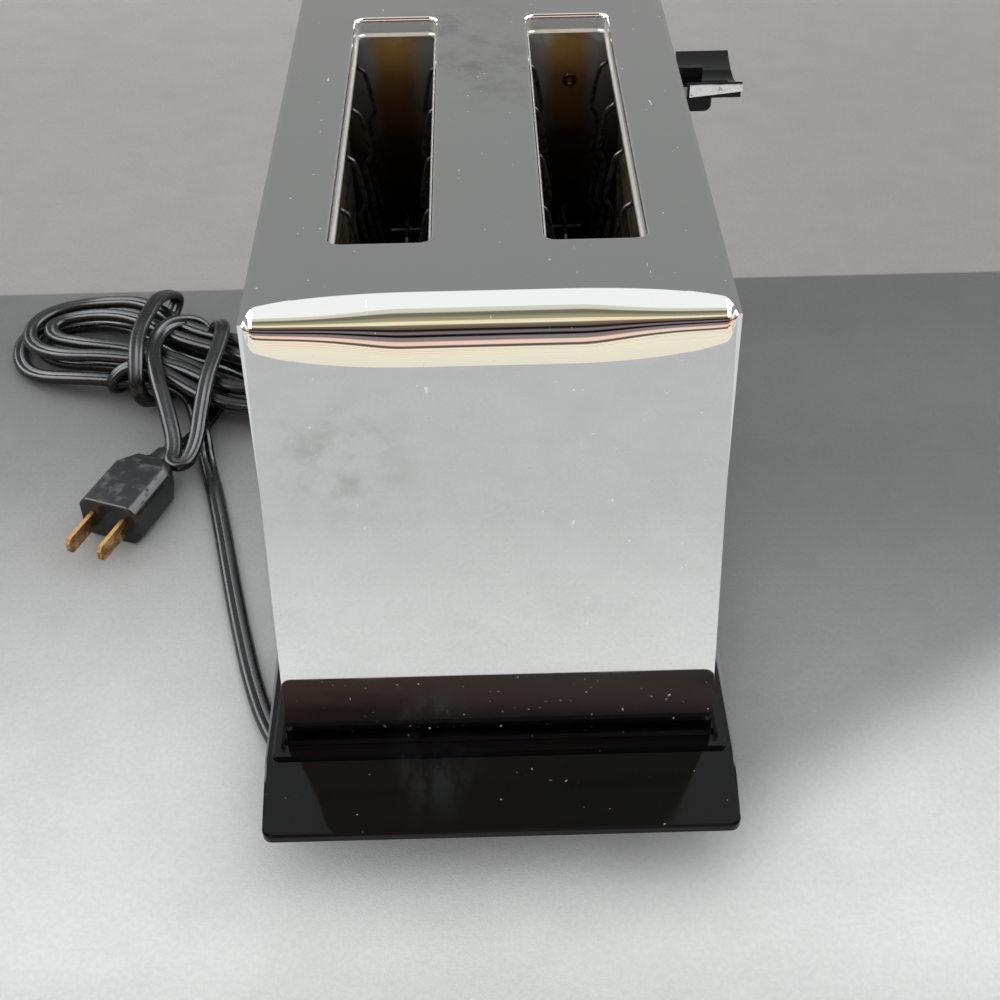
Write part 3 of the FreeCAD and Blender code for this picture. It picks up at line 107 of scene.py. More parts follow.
class Pattern:
    """The nodes that work out how a surface or its surroundings look."""

    def __init__(self, tree, place):
        self.tree = tree
        self.place = self.node("TexCoord", out=place)

    def node(self, kind, settings=None, sockets=None, out=0):
        made = self.tree.nodes.new("ShaderNode" + kind)
        for key, value in (settings or {}).items():
            if key == "stops":
                ramp = made.color_ramp
                while len(ramp.elements) < len(value):
                    ramp.elements.new(1)
                for stop, (at, colour) in zip(ramp.elements, value):
                    stop.position, stop.color = at, (*colour, 1)
            else:
                setattr(made, key, value)
        for key, value in (sockets or {}).items():
            self.join(made.inputs[key], value)
        return Mask(self, made.outputs[out])

    def join(self, socket, value):
        if isinstance(value, Mask):
            self.tree.links.new(value.socket, socket)
        elif socket.type == "RGBA":
            socket.default_value = (*value, 1)
        else:
            socket.default_value = value

    def stretched(self, stretch, turn=(0, 0, 0)):
        return self.node("Mapping", {}, {"Vector": self.place, "Scale": stretch, "Rotation": turn})

    def noise(self, per_metre, detail=2.0, rough=0.5, at=None):
        return self.node("TexNoise", {}, {"Vector": at or self.place, "Scale": per_metre,
                                          "Detail": detail, "Roughness": rough})

    def rise(self, value, low, high, to_low=0.0, to_high=1.0):
        return self.node("MapRange", {"interpolation_type": "SMOOTHSTEP"},
                         {"Value": value, "From Min": low, "From Max": high,
                          "To Min": to_low, "To Max": to_high})

    def tint(self, mask, first, second):
        return self.node("Mix", {"data_type": "RGBA"}, {0: mask, 6: first, 7: second}, out=2)

    def ramp(self, value, *stops):
        return self.node("ValToRGB", {"stops": stops}, {0: value})

    def near(self, point, reach):
        """One at a point, nothing beyond its reach."""
        apart = self.node("VectorMath", {"operation": "DISTANCE"},
                          {0: self.place, 1: point}, out="Value")
        return self.rise(apart, reach, 0.0)

    def along(self, axis):
        return self.node("SeparateXYZ", {}, {0: self.place}, out=axis)

    def relief(self, height, depth, under=None):
        sockets = {"Height": height, "Distance": depth, "Strength": 1.0}
        if under:
            sockets["Normal"] = under
        return self.node("Bump", {}, sockets)



class Finish(Pattern):
    """A surface finish: a material whose wear, grain and colour are worked out."""

    def __init__(self, name, **fixed):
        self.material = bpy.data.materials.new(name)
        self.material.use_nodes = True
        super().__init__(self.material.node_tree, "Object")
        self.shader = self.tree.nodes["Principled BSDF"]
        self.give(**fixed)

    def give(self, **sockets):
        for key, value in sockets.items():
            self.join(self.shader.inputs[key.replace("_", " ")], value)
        return self

    def on(self, *pieces):
        for piece in pieces:
            if piece.material_slots:
                piece.material_slots[0].material = self.material
            else:
                piece.data.materials.append(self.material)


def on_hank(u, v, z):
    c, s = cos(HANK_TURN), sin(HANK_TURN)
    return Vector((HANK_PLACE[0] + u * c - v * s, HANK_PLACE[1] + u * s + v * c, z))


def swing(x):
    x = min(1.0, max(0.0, x))
    return x * x * (3 - 2 * x)


def hank_at(turned):
    half = HANK_SWEEP / 2
    inward = (half - abs(turned - half)) / (2 * pi)
    a = radians(282) - turned
    u = -0.013 + (0.068 - 0.0085 * inward) * cos(a)
    tight = exp(-(u / 0.038) ** 2)
    loose = (0.043 - 0.0144 * inward) * sin(a)
    waist = (0.01635 - 0.0073 * inward) * sin(a) + 0.00175
    v = loose + (waist - loose) * tight
    lift = HANK_LIFT * swing((0.062 - abs(u)) / 0.03)
    climb = HANK_LAYER * swing((turned - half) / pi + 0.5)
    return on_hank(u, v, CAD_FLOOR + lift + climb)


relief_tip = Vector((-0.065356, -0.099, 0.0054))
relief_way = Vector((-0.5, 0.866, -0.15)).normalized()
over = CAD_FLOOR + HANK_LIFT + 2 * HANK_LAYER + 0.0004
first, second = hank_at(0), hank_at(0.001)
last, past = hank_at(HANK_SWEEP), hank_at(HANK_SWEEP - 0.001)
route = [relief_tip, relief_tip + relief_way * 0.013]
route += [Vector((x, y, CAD_FLOOR)) for x, y in (
    (-0.0795, -0.066), (-0.0855, -0.044), (-0.0915, -0.020), (-0.0985, 0.010),
    (-0.1045, 0.034), (-0.1095, 0.051))]
route += [Vector((x, y, CAD_FLOOR + HANK_LIFT)) for x, y in ((-0.1108, 0.058), (-0.114, 0.068))]
route += [first - (second - first).normalized() * 0.016]
route += [hank_at(HANK_SWEEP * k / HANK_TURNS_AT) for k in range(HANK_TURNS_AT + 1)]
route += [last + (last - past).normalized() * 0.013]
route += [on_hank(u / 1000, v / 1000, z) for u, v, z in (
    (-12, -18, over - HANK_LAYER), (-16, -25, 0.0110), (-17, -17, CAD_FLOOR),
    (-22, 0, CAD_FLOOR), (-26, 22, CAD_FLOOR), (-27, 40, 0.0144), (-25, 24, over),
    (-19, 9, 0.0275), (-13, -6, 0.0275), (-4, -19, 0.0262), (3, -29, 0.0144),
    (3, -20, CAD_FLOOR), (4, 0, CAD_FLOOR), (2, 18, CAD_FLOOR), (-4, 26, 0.0144),
    (-12, 14, 0.0215), (-9, -2, 0.0222), (6, -20, 0.0245), (25, -37, 0.020),
    (36, -48, 0.0143), (40, -57, 0.0143), (46, -55, 0.0143), (43, -44, 0.0165),
    (36, -31, 0.021), (28, -15, over), (20, 4, over), (13, 17, 0.026), (6, 21, 0.0215),
    (4, 14, 0.010), (23, 2, CAD_FLOOR), (28, -20, CAD_FLOOR), (31, -35, CAD_FLOOR),
    (32, -43, 0.0085), (33, -50.5, 0.0085))]
# The flex is flatter than the round solid of its frame, so it lies lower on the floor
FLAT_REST = FLEX_HEIGHT / 2 + 0.0001
for k, point in enumerate(route[1:-2], 1):
    point.z = FLAT_REST + (point.z - CAD_FLOOR) * 0.86 if k > 1 else 0.0036

line = bpy.data.curves.new("mains_lead_line", "CURVE")
line.dimensions = "3D"
line.resolution_u = 7
spline = line.splines.new("NURBS")
spline.points.add(len(route) - 1)
for spot, point in zip(spline.points, route):
    spot.co = (*point, 1)
spline.order_u = 3
spline.use_endpoint_u = True
line_object = bpy.data.objects.new("mains_lead_line", line)
way = [v.co.copy() for v in bpy.data.meshes.new_from_object(line_object).vertices]
bpy.data.objects.remove(line_object)

lobe = FLEX_HEIGHT / 2
lobe_at = FLEX_WIDTH / 2 - lobe
section = []
for side in (1, -1):
    for degrees in (-138, -95, -50, 0, 50, 95, 138):
        a = radians(degrees if side > 0 else degrees + 180)
        section.append((side * lobe_at + lobe * cos(a), lobe * sin(a)))
corners, rings = [], len(way)
wide = None
for k, point in enumerate(way):
    along = (way[min(k + 1, rings - 1)] - way[max(k - 1, 0)]).normalized()
    flat = along.cross(Vector((0, 0, 1)))
    if wide is None:
        wide = flat.normalized()
    wide = (wide - along * wide.dot(along)).normalized()
    if flat.length > 0.45:
        flat.normalize()
        if flat.dot(wide) < 0:
            flat.negate()
        wide = wide.lerp(flat, 0.10).normalized()
    thick = along.cross(wide)
    corners += [point + wide * a + thick * b for a, b in section]
count = len(section)
faces = [(k * count + j, k * count + (j + 1) % count, (k + 1) * count + (j + 1) % count,
          (k + 1) * count + j) for k in range(rings - 1) for j in range(count)]
faces += [tuple(range(count))[::-1], tuple((rings - 1) * count + j for j in range(count))]
flex_mesh = bpy.data.meshes.new("mains_lead")
flex_mesh.from_pydata(corners, [], faces)
flex = bpy.data.objects.new("mains_lead", flex_mesh)
bpy.context.scene.collection.objects.link(flex)


def pick(piece):
    """Makes a piece the only selected one."""
    bpy.ops.object.select_all(action="DESELECT")
    piece.select_set(True)
    bpy.context.view_layer.objects.active = piece


def outward(piece):
    pick(piece)
    bpy.ops.object.mode_set(mode="EDIT")
    bpy.ops.mesh.select_all(action="SELECT")
    bpy.ops.mesh.normals_make_consistent(inside=False)
    bpy.ops.object.mode_set(mode="OBJECT")


outward(flex)
bpy.ops.object.shade_smooth_by_angle(angle=radians(60))
flex_black = Finish("black_flex", Specular_IOR_Level=0.5)
dust = flex_black.rise(flex_black.noise(900, 3), 0.60, 0.78)
flex_black.give(
    Base_Color=flex_black.tint(dust, (0.0035, 0.0042, 0.0046), (0.03, 0.03, 0.03)),
    Roughness=flex_black.rise(flex_black.noise(120, 2), 0.3, 0.7, 0.20, 0.32),
    Normal=flex_black.relief(flex_black.noise(2600, 2), 0.00004))
flex_black.on(flex)
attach(flex, "body")
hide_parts("cord_lead", "cord_hank", "cord_tie")

# Plug
# A flat moulded plug on the end of the lead, with a waist for the fingers, two
# brass blades and a short sleeve over the flex. One black moulding.
PLUG_REAR = route[-1]


def refined(node, width, segments=2, dissolve=1.5, angle=28.0, name=None):
    """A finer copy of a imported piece: its facets joined and its edges rounded."""
    piece = bpy.data.objects.new(name or "fine_" + node, nodes[node].data.copy())
    bpy.context.scene.collection.objects.link(piece)
    pick(piece)
    bpy.ops.object.mode_set(mode="EDIT")
    bpy.ops.mesh.select_all(action="SELECT")
    bpy.ops.mesh.remove_doubles(threshold=0.00001)
    bpy.ops.mesh.dissolve_limited(angle_limit=radians(dissolve))
    bpy.ops.mesh.normals_make_consistent(inside=False)
    bpy.ops.object.mode_set(mode="OBJECT")
    rounding = piece.modifiers.new("rounding", "BEVEL")
    rounding.width, rounding.segments, rounding.limit_method = width, segments, "ANGLE"
    rounding.angle_limit = radians(angle)
    rounding.use_clamp_overlap = True
    bpy.ops.object.modifier_apply(modifier="rounding")
    bpy.ops.object.shade_smooth_by_angle(angle=radians(angle + 4))
    even = piece.modifiers.new("even", "WEIGHTED_NORMAL")
    even.keep_sharp = True
    bpy.ops.object.modifier_apply(modifier="even")
    piece["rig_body"] = nodes[node]["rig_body"]
    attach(piece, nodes[node]["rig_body"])
    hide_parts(node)
    return piece


plug = refined("plug_body", 0.0012, 3, name="plug_moulding")
plug_black = Finish("plug_black", Specular_IOR_Level=0.5)
scuffed = plug_black.rise(plug_black.noise(180, 5, 0.6), 0.5, 0.66)
plug_black.give(
    Base_Color=plug_black.tint(scuffed, (0.006, 0.007, 0.0075), (0.035, 0.036, 0.037)),
    Roughness=plug_black.rise(scuffed, 0, 1, 0.3, 0.55),
    Normal=plug_black.relief(plug_black.noise(1800, 3), 0.00003))
plug_black.on(plug)

blade_brass = Finish("blade_brass", Metallic=1.0)
tarnish = blade_brass.rise(blade_brass.noise(220, 5, 0.6), 0.42, 0.62)
blade_brass.give(
    Base_Color=blade_brass.tint(tarnish, (0.72, 0.46, 0.20), (0.34, 0.17, 0.07)),
    Roughness=blade_brass.rise(tarnish, 0, 1, 0.24, 0.5))
blade_brass.on(nodes["plug_prongs"])

# Strain relief
# A soft black sleeve moulded round the lead where it leaves the skirt; rings cut
# round it let it bend, and a flange behind the wall holds it.
relief_black = Finish("relief_black", Roughness=0.42)
relief_black.give(Base_Color=relief_black.tint(relief_black.noise(700, 3),
                                               (0.011, 0.011, 0.012), (0.03, 0.03, 0.03)))
sleeve = refined("strain_relief", 0.0003, 1, name="lead_sleeve")
relief_black.on(sleeve)

# Bright shell
# One sheet of chromed steel makes both ends and the top. Each bend is crowned: even
# over the middle, then drawn to a point at the corners. The slots have rolled rims.
TOP, LOW_EDGE, SHEET = 0.1685, 0.0238, 0.0008
TOP_HALF_L, TOP_HALF_W = 0.1064, 0.0581
END_FLARE, SIDE_FLARE, SHELL_H = 0.00395, 0.00405, 0.1447
BEND_R, BEND_DRAW, EAR_AT = 0.01345, 0.49, 0.962
SLOT_HALF_W, SLOT_HALF_L, SLOT_CORNER, SLOT_X = 0.013, 0.070, 0.003, 0.0275
RIM_DEPTH, RIM_ROLL = 0.005, 0.0011
ACROSS, ROUND = 96, 36


def half_length(z):
    return TOP_HALF_L + END_FLARE * (TOP - z) / SHELL_H


def half_width(z):
    return TOP_HALF_W + SIDE_FLARE * (TOP - z) / SHELL_H


def wrap_point(u, row):
    """A point of the front end panel and bend, from its lower edge to the top."""
    side = abs(u)
    closing = max(0.0, (side - EAR_AT) / (1 - EAR_AT))
    setback = BEND_R * (1 - BEND_DRAW * side ** 3.8) * (1 - closing ** 2) ** 0.75
    corner = Vector((0, -half_length(TOP), TOP))
    along_end = Vector((0, -END_FLARE / SHELL_H, -1))
    along_top = Vector((0, 1, 0))
    low, high = corner + along_end * setback, corner + along_top * setback
    if row < 4:
        low.z = LOW_EDGE + (TOP - BEND_R - 0.004 - LOW_EDGE) * row / 4
        low.y = -half_length(low.z)
        return (u * half_width(low.z), low.y, low.z)
    slack = tan(radians(12) * side ** 3)
    ridge = corner + (along_end + along_top) * (setback * slack / (1 + slack))
    pull = 0.707 + 0.65 * swing((side - 0.35) / 0.5)
    t = (row - 4) / ROUND
    weights = ((1 - t) ** 2, 2 * pull * t * (1 - t), t ** 2)
    point = (low * weights[0] + ridge * weights[1] + high * weights[2]) / sum(weights)
    return (u * half_width(point.z), point.y, point.z)


pick(camera)
bpy.ops.mesh.primitive_grid_add(x_subdivisions=ACROSS, y_subdivisions=4 + ROUND, size=2)
wrap = bpy.context.active_object
wrap.name = wrap.data.name = "bright_wrap"
columns, rows = ACROSS + 1, 5 + ROUND
for k, vertex in enumerate(wrap.data.vertices):
    t = vertex.co.x
    u = (1 - (1 - abs(t)) ** 1.9) * (1 if t > 0 else -1)
    vertex.co = wrap_point(u, round((vertex.co.y + 1) / 2 * (rows - 1)))
mirror = wrap.modifiers.new("mirror", "MIRROR")
mirror.use_axis = (False, True, False)
mirror.use_mirror_merge = False
bpy.ops.object.modifier_apply(modifier="mirror")

rims = []
for side in (-1, 1):
    bpy.ops.mesh.primitive_plane_add(size=2, location=(side * SLOT_X, 0, TOP))
    rim = bpy.context.active_object
    rim.scale = (SLOT_HALF_W + RIM_ROLL, SLOT_HALF_L + RIM_ROLL, 1)
    bpy.ops.object.transform_apply(location=True, rotation=False, scale=True)
    bpy.ops.object.mode_set(mode="EDIT")
    bpy.ops.mesh.select_all(action="SELECT")
    bpy.ops.mesh.bevel(affect="VERTICES", offset=SLOT_CORNER + RIM_ROLL, segments=7)
    bpy.ops.mesh.select_all(action="SELECT")
    for step in range(1, 7):
        turn = pi / 2 * step / 6
        inner = RIM_ROLL * (sin(turn) - sin(turn - pi / 12))
        fall = RIM_ROLL * (cos(turn - pi / 12) - cos(turn))
        bpy.ops.mesh.inset(thickness=inner, depth=0, use_boundary=True)
        bpy.ops.transform.translate(value=(0, 0, -fall))
    bpy.ops.mesh.extrude_region_move(
        TRANSFORM_OT_translate={"value": (0, 0, -(RIM_DEPTH - RIM_ROLL))})
    for inner, fall in ((0.0003, 0.00005), (0.0004, 0.0003), (0.0002, 0.0005)):
        bpy.ops.mesh.inset(thickness=inner, depth=0, use_boundary=True)
        bpy.ops.transform.translate(value=(0, 0, -fall))
    bpy.ops.mesh.delete(type="FACE")
    bpy.ops.object.mode_set(mode="OBJECT")
    rims.append(rim)
bpy.ops.object.select_all(action="DESELECT")
for piece in (*rims, wrap):
    piece.select_set(True)
bpy.context.view_layer.objects.active = wrap
bpy.ops.object.join()

bpy.ops.object.mode_set(mode="EDIT")
bpy.ops.mesh.select_all(action="SELECT")
bpy.ops.mesh.remove_doubles(threshold=0.000001)
bpy.ops.mesh.select_mode(type="EDGE")
bpy.ops.mesh.select_all(action="DESELECT")
bpy.ops.object.mode_set(mode="OBJECT")
tips = {}
for vertex in wrap.data.vertices:
    if abs(vertex.co.x) > TOP_HALF_W - 0.00001 and vertex.co.z > TOP - 0.00015:
        key = (vertex.co.x > 0, vertex.co.y > 0)
        if key not in tips or vertex.co.z > wrap.data.vertices[tips[key]].co.z:
            tips[key] = vertex.index
wrap.data.edges.add(2)
for n, side in enumerate((False, True)):
    edge = wrap.data.edges[len(wrap.data.edges) - 2 + n]
    edge.vertices = (tips[(side, False)], tips[(side, True)])
wrap.data.update()
used = {}
for face in wrap.data.polygons:
    for key in face.edge_keys:
        used[key] = used.get(key, 0) + 1
for edge in wrap.data.edges:
    a, b = (wrap.data.vertices[v].co for v in edge.vertices)
    edge.select = used.get(tuple(sorted(edge.vertices)), 0) < 2 and min(a.z, b.z) > TOP - 0.00016
bpy.ops.object.mode_set(mode="EDIT")
bpy.ops.mesh.fill(use_beauty=True)
bpy.ops.mesh.select_all(action="SELECT")
bpy.ops.mesh.normals_make_consistent(inside=False)
bpy.ops.object.mode_set(mode="OBJECT")
bpy.ops.object.shade_smooth_by_angle(angle=radians(7))
wall = wrap.modifiers.new("wall", "SOLIDIFY")
wall.thickness, wall.offset, wall.use_rim = SHEET, -1, True
wall.use_even_offset = True
bpy.ops.object.modifier_apply(modifier="wall")
edge = wrap.modifiers.new("edge", "BEVEL")
edge.width, edge.segments, edge.limit_method = 0.0004, 3, "ANGLE"
edge.angle_limit = radians(70)
bpy.ops.object.modifier_apply(modifier="edge")
even = wrap.modifiers.new("even", "WEIGHTED_NORMAL")
even.keep_sharp = True
bpy.ops.object.modifier_apply(modifier="even")
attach(wrap, "body")
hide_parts("shell_wrap")

chrome = Finish("chrome")
smear = chrome.rise(chrome.noise(42, 6, 0.62), 0.50, 0.70)
rubbed = chrome.near((0.002, 0.030, TOP), 0.036) + chrome.near((-0.006, 0.062, TOP), 0.030)
rubbed = rubbed + chrome.near((-0.040, -0.106, 0.128), 0.030)
rubbed = chrome.rise(chrome.noise(75, 7, 0.66), 0.42, 0.68) * rubbed
specks = chrome.rise(chrome.noise(760, 2), 0.745, 0.775)
fibres = chrome.rise(chrome.noise(330, 3, 0.6, chrome.stretched((1, 0.22, 0.5), (0, 0, 0.7))), 0.71, 0.74)
dusty = specks + fibres * 0.6
from_slot = chrome.node("Math", {"operation": "ABSOLUTE"}, {0: chrome.along("X")}) - SLOT_X
from_slot = chrome.node("Math", {"operation": "ABSOLUTE"}, {0: from_slot})
from_end = chrome.node("Math", {"operation": "ABSOLUTE"}, {0: chrome.along("Y")})
in_slot = chrome.rise(from_slot, 0.0165, 0.0155) * chrome.rise(from_end, 0.0765, 0.0755)
in_slot = in_slot * chrome.rise(chrome.along("Z"), TOP - 0.0008, TOP - 0.0016)
chrome.give(
    Base_Color=chrome.tint(in_slot, chrome.tint(rubbed, (0.93, 0.937, 0.935), (0.66, 0.66, 0.65)),
                           (0.74, 0.74, 0.70)),
    Metallic=1.0 - dusty * 0.75 - in_slot * 0.45,
    Roughness=0.020 + smear * 0.030 + rubbed * 0.09 + dusty * 0.35 + in_slot * 0.22)
chrome.on(wrap, nodes["side_panel_left"], nodes["side_panel_right"])

# Base moulding
# One black phenolic moulding: a plate with a carrying apron at each end, a groove
# for the shell with a bead round it, and a skirt with screw bosses under it.
base = refined("base_frame", 0.00035, 2, name="base_moulding")
phenolic = Finish("black_phenolic", Specular_IOR_Level=0.22)
motes = phenolic.rise(phenolic.noise(560, 2), 0.755, 0.79)
haze = phenolic.rise(phenolic.noise(38, 5, 0.6), 0.45, 0.7)
wiped = phenolic.near((-0.020, -0.122, 0.018), 0.020) * phenolic.rise(
    phenolic.noise(90, 4, 0.6, phenolic.stretched((1, 0.4, 1), (0, 0, 0.6))), 0.42, 0.62)
phenolic.give(
    Base_Color=phenolic.tint(motes, phenolic.tint(
        wiped, (0.0022, 0.0024, 0.0027), (0.016, 0.019, 0.024)), (0.30, 0.28, 0.25)),
    Roughness=0.045 + haze * 0.06 + wiped * 0.2 + motes * 0.5,
    Normal=phenolic.relief(phenolic.noise(60, 3), 0.00003))
phenolic.on(base)

# Lever knob
# A black moulding across the end of the lever, hollowed for a fingertip, with a
# bright metal strip let into the face towards the front.
knob = refined("lever_knob", 0.0004, 2, name="lever_moulding")
phenolic.on(knob)
strip_metal = Finish("strip_metal", Metallic=1.0)
brushed = strip_metal.noise(300, 3, 0.6, strip_metal.stretched((1, 1, 14)))
mottle = strip_metal.rise(strip_metal.noise(420, 5, 0.65), 0.56, 0.66)
strip_metal.give(
    Base_Color=strip_metal.tint(mottle, (0.90, 0.905, 0.92), (0.40, 0.41, 0.45)),
    Roughness=strip_metal.rise(brushed, 0.3, 0.7, 0.22, 0.42))
strip_metal.on(nodes["knob_strip"], nodes["knob_pointer"])

# Slot liners
# Sheet steel closes both ends of the slots. Above each toasted slice the heat has
# turned it amber and brown. Its colour also holds a painted highlight, near white along
# the rolled top edge, and painted shade that darkens it to near black further down
# the slot; one eyelet shows.


def heated(finish, where):
    """A mask of the heat's stain: strongest over the middle of each slot."""
    x = finish.node("Math", {"operation": "ABSOLUTE"}, {0: finish.along("X")})
    off = finish.node("Math", {"operation": "ABSOLUTE"}, {0: x - SLOT_X - where})
    edge = finish.noise(110, 4, 0.6) - 0.5
    return finish.rise(off + edge * 0.006, 0.0105, 0.0035)


liner_steel = Finish("liner_steel", Metallic=0.55)
depth_below = (TOP - liner_steel.along("Z")) * (1 / 0.14)
depth_below = depth_below + (liner_steel.noise(60, 4) - 0.5) * 0.10
# Both ramps are painted light: near white at the rolled top as a painted highlight, then painted shade
# down to near black deeper in the slot; the second also has the heat stain.
plain_steel_painted_light = liner_steel.ramp(depth_below, (0.0, (0.95, 0.96, 0.95)), (0.050, (0.90, 0.90, 0.86)),
                         (0.066, (0.40, 0.40, 0.38)), (0.20, (0.17, 0.17, 0.155)),
                         (0.34, (0.045, 0.043, 0.038)), (0.6, (0.004, 0.004, 0.004)))
heat_stain_painted_light = liner_steel.ramp(depth_below, (0.0, (0.95, 0.93, 0.86)), (0.050, (0.72, 0.55, 0.30)),
                         (0.066, (0.50, 0.29, 0.085)), (0.16, (0.22, 0.105, 0.035)),
                         (0.30, (0.035, 0.014, 0.006)), (0.5, (0.003, 0.002, 0.002)))
rolled = liner_steel.noise(500, 3, 0.6, liner_steel.stretched((6, 1, 0.3)))
liner_steel.give(Base_Color=liner_steel.tint(heated(liner_steel, 0.001), plain_steel_painted_light, heat_stain_painted_light),
                 Roughness=liner_steel.rise(rolled, 0.3, 0.7, 0.30, 0.46),
                 Normal=liner_steel.relief(rolled, 0.00002))
liner_steel.on(nodes["front_liner"], nodes["rear_liner"])

bpy.ops.object.select_all(action="DESELECT")
bpy.ops.mesh.primitive_torus_add(major_radius=0.0017, minor_radius=0.0007, major_segments=28,
                                 minor_segments=12, location=(0.0290, 0.0712, 0.1455),
                                 rotation=(pi / 2, 0, 0))
eyelet = bpy.context.active_object
eyelet.name = eyelet.data.name = "liner_eyelet"
bpy.ops.object.transform_apply(location=True, rotation=True, scale=True)
bpy.ops.object.shade_smooth()
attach(eyelet, "body")
eyelet_steel = Finish("eyelet_steel", Metallic=1.0)
eyelet_steel.give(Base_Color=eyelet_steel.tint(eyelet_steel.noise(900, 3), (0.05, 0.035, 0.03),
                                               (0.16, 0.11, 0.08)),
                  Roughness=eyelet_steel.rise(eyelet_steel.noise(500, 3), 0.3, 0.7, 0.25, 0.5))
eyelet_steel.on(eyelet)

# Bread guards
# Five steel wires hang down each wall of a slot, bent like saw teeth to hold the
# bread off the elements. Heat has darkened them; the rails that hold them are sheet.
WIRE_R, GUARD_TOP, GUARD_FOOT, TOOTH = 0.0007, 0.158, 0.0290, 0.0176
wire_dark = Finish("wire_dark", Metallic=0.85)
scaled = wire_dark.rise(wire_dark.noise(420, 4, 0.65), 0.40, 0.65)
wire_dark.give(Base_Color=wire_dark.tint(scaled, (0.10, 0.095, 0.09), (0.018, 0.016, 0.014)),
               Roughness=wire_dark.rise(scaled, 0, 1, 0.34, 0.6))
for n, (middle, s) in enumerate(((-SLOT_X, -1), (-SLOT_X, 1), (SLOT_X, -1), (SLOT_X, 1)), 1):
    wall = middle + s * SLOT_HALF_W
    bends = [(-0.0006, GUARD_TOP), (-0.0006, GUARD_TOP - 0.0018)]
    z = GUARD_TOP - 0.0035
    while z - TOOTH > GUARD_FOOT:
        bends += [(0.0024, z), (0.0050, z - 0.79 * TOOTH)]
        z -= TOOTH
    bends += [(0.0024, z), (-0.0006, z - 0.003), (-0.0006, GUARD_FOOT)]
    bent = bpy.data.curves.new(f"guard_wires_{n}", "CURVE")
    bent.dimensions, bent.resolution_u = "3D", 4
    bent.bevel_depth, bent.bevel_resolution, bent.use_fill_caps = WIRE_R, 3, True
    for k in range(5):
        y = 0.061 - 0.0307 * k
        corners = [Vector((wall - s * reach, y, h)) for reach, h in bends]
        points = [corners[0]]
        for before, at, after in zip(corners, corners[1:], corners[2:]):
            points += [at + (before - at).normalized() * 0.0009,
                       at + (after - at).normalized() * 0.0009]
        points.append(corners[-1])
        spline = bent.splines.new("NURBS")
        spline.points.add(len(points) - 1)
        for spot, point in zip(spline.points, points):
            spot.co = (*point, 1)
        spline.order_u = 3
        spline.use_endpoint_u = True
    wires = bpy.data.objects.new(f"guard_wires_{n}", bent)
    bpy.context.scene.collection.objects.link(wires)
    pick(wires)
    bpy.ops.object.convert(target="MESH")
    wires = bpy.context.active_object
    bpy.ops.object.shade_smooth_by_angle(angle=radians(50))
    wire_dark.on(wires)
    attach(wires, "body")
    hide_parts(f"bread_guard_{n}")

sooty = Finish("sooty_sheet", Metallic=0.7)
soot = sooty.rise(sooty.noise(70, 5, 0.62), 0.35, 0.62)
sooty.give(Base_Color=sooty.tint(soot, (0.16, 0.145, 0.125), (0.022, 0.019, 0.016)),
           Roughness=sooty.rise(soot, 0, 1, 0.36, 0.66),
           Normal=sooty.relief(sooty.noise(260, 3), 0.00002))
sooty.on(nodes["guard_rails"], nodes["heat_shield_left"], nodes["heat_shield_right"])

# Bread racks
# A formed wire rack in each slot carries the slice; its long wires run through the
# rear liner to the carriage. Steel, browned by the heat, and darkened further as
# painted shade, since it lies deep in the slot.
rack_brown = Finish("rack_brown", Metallic=0.9)
tempered = rack_brown.rise(rack_brown.noise(130, 4, 0.6), 0.38, 0.62)
# Both tones are heat browning darkened further as painted shade of the deep slot.
rack_brown.give(Base_Color=rack_brown.tint(tempered, (0.20, 0.17, 0.14), (0.055, 0.040, 0.030)),
                Roughness=rack_brown.rise(tempered, 0, 1, 0.3, 0.5))
for side in ("left", "right"):
    rack = refined(f"bread_rack_{side}", 0.0002, 2, angle=30)
    rack_brown.on(rack)

# Heating elements
# Four sheets of mica, notched at their edges, carry a flat resistance ribbon wound
# round them. The mica is amber and flaky, the ribbon blue-grey from its first heats.
mica = Finish("mica_sheet", Specular_IOR_Level=0.6)
flakes = mica.noise(160, 5, 0.7)
veins = mica.rise(mica.noise(55, 6, 0.65), 0.46, 0.56)
mica.give(Base_Color=mica.tint(veins, (0.30, 0.235, 0.15), (0.15, 0.105, 0.06)),
          Roughness=mica.rise(flakes, 0.3, 0.7, 0.22, 0.48),
          Normal=mica.relief(flakes, 0.00004))
ribbon = Finish("resistance_ribbon_finish", Metallic=0.9)
oxide = ribbon.rise(ribbon.noise(240, 4, 0.6), 0.4, 0.62)
ribbon.give(Base_Color=ribbon.tint(oxide, (0.17, 0.175, 0.20), (0.07, 0.055, 0.05)),
            Roughness=ribbon.rise(oxide, 0, 1, 0.34, 0.58))
for side in ("left", "centre_left", "centre_right", "right"):
    mica.on(nodes[f"element_card_{side}"])
    ribbon.on(nodes[f"element_winding_{side}"])

# Chassis
# Sheet steel, pressed and punched: the ring-shaped pan, the brackets that carry rod,
# latch and thermostat, and the lift carriage with its rolled grain still showing.


def worn_metal(name, clean, stained, smooth, dull, spread=90.0, grain=(1, 1, 8)):
    """A bare metal with a rolled grain and stains that dull it in patches."""
    finish = Finish(name, Metallic=1.0)
    stains = finish.rise(finish.noise(spread, 5, 0.62), 0.42, 0.68)
    lines = finish.noise(380, 3, 0.6, finish.stretched(grain))
    finish.give(Base_Color=finish.tint(stains, clean, stained),
                Roughness=finish.rise(lines * 0.5 + stains * 0.5, 0.2, 0.8, smooth, dull),
                Normal=finish.relief(lines, 0.00001))
    return finish


worn_metal("chassis_steel", (0.52, 0.53, 0.53), (0.33, 0.32, 0.29), 0.28, 0.5).on(
    nodes["chassis_pan"], nodes["top_bracket"], nodes["latch_bracket"], nodes["thermostat_rail"])
worn_metal("carriage_steel", (0.58, 0.58, 0.57), (0.36, 0.33, 0.28), 0.24, 0.44,
           grain=(8, 1, 1)).on(nodes["carriage_frame"])

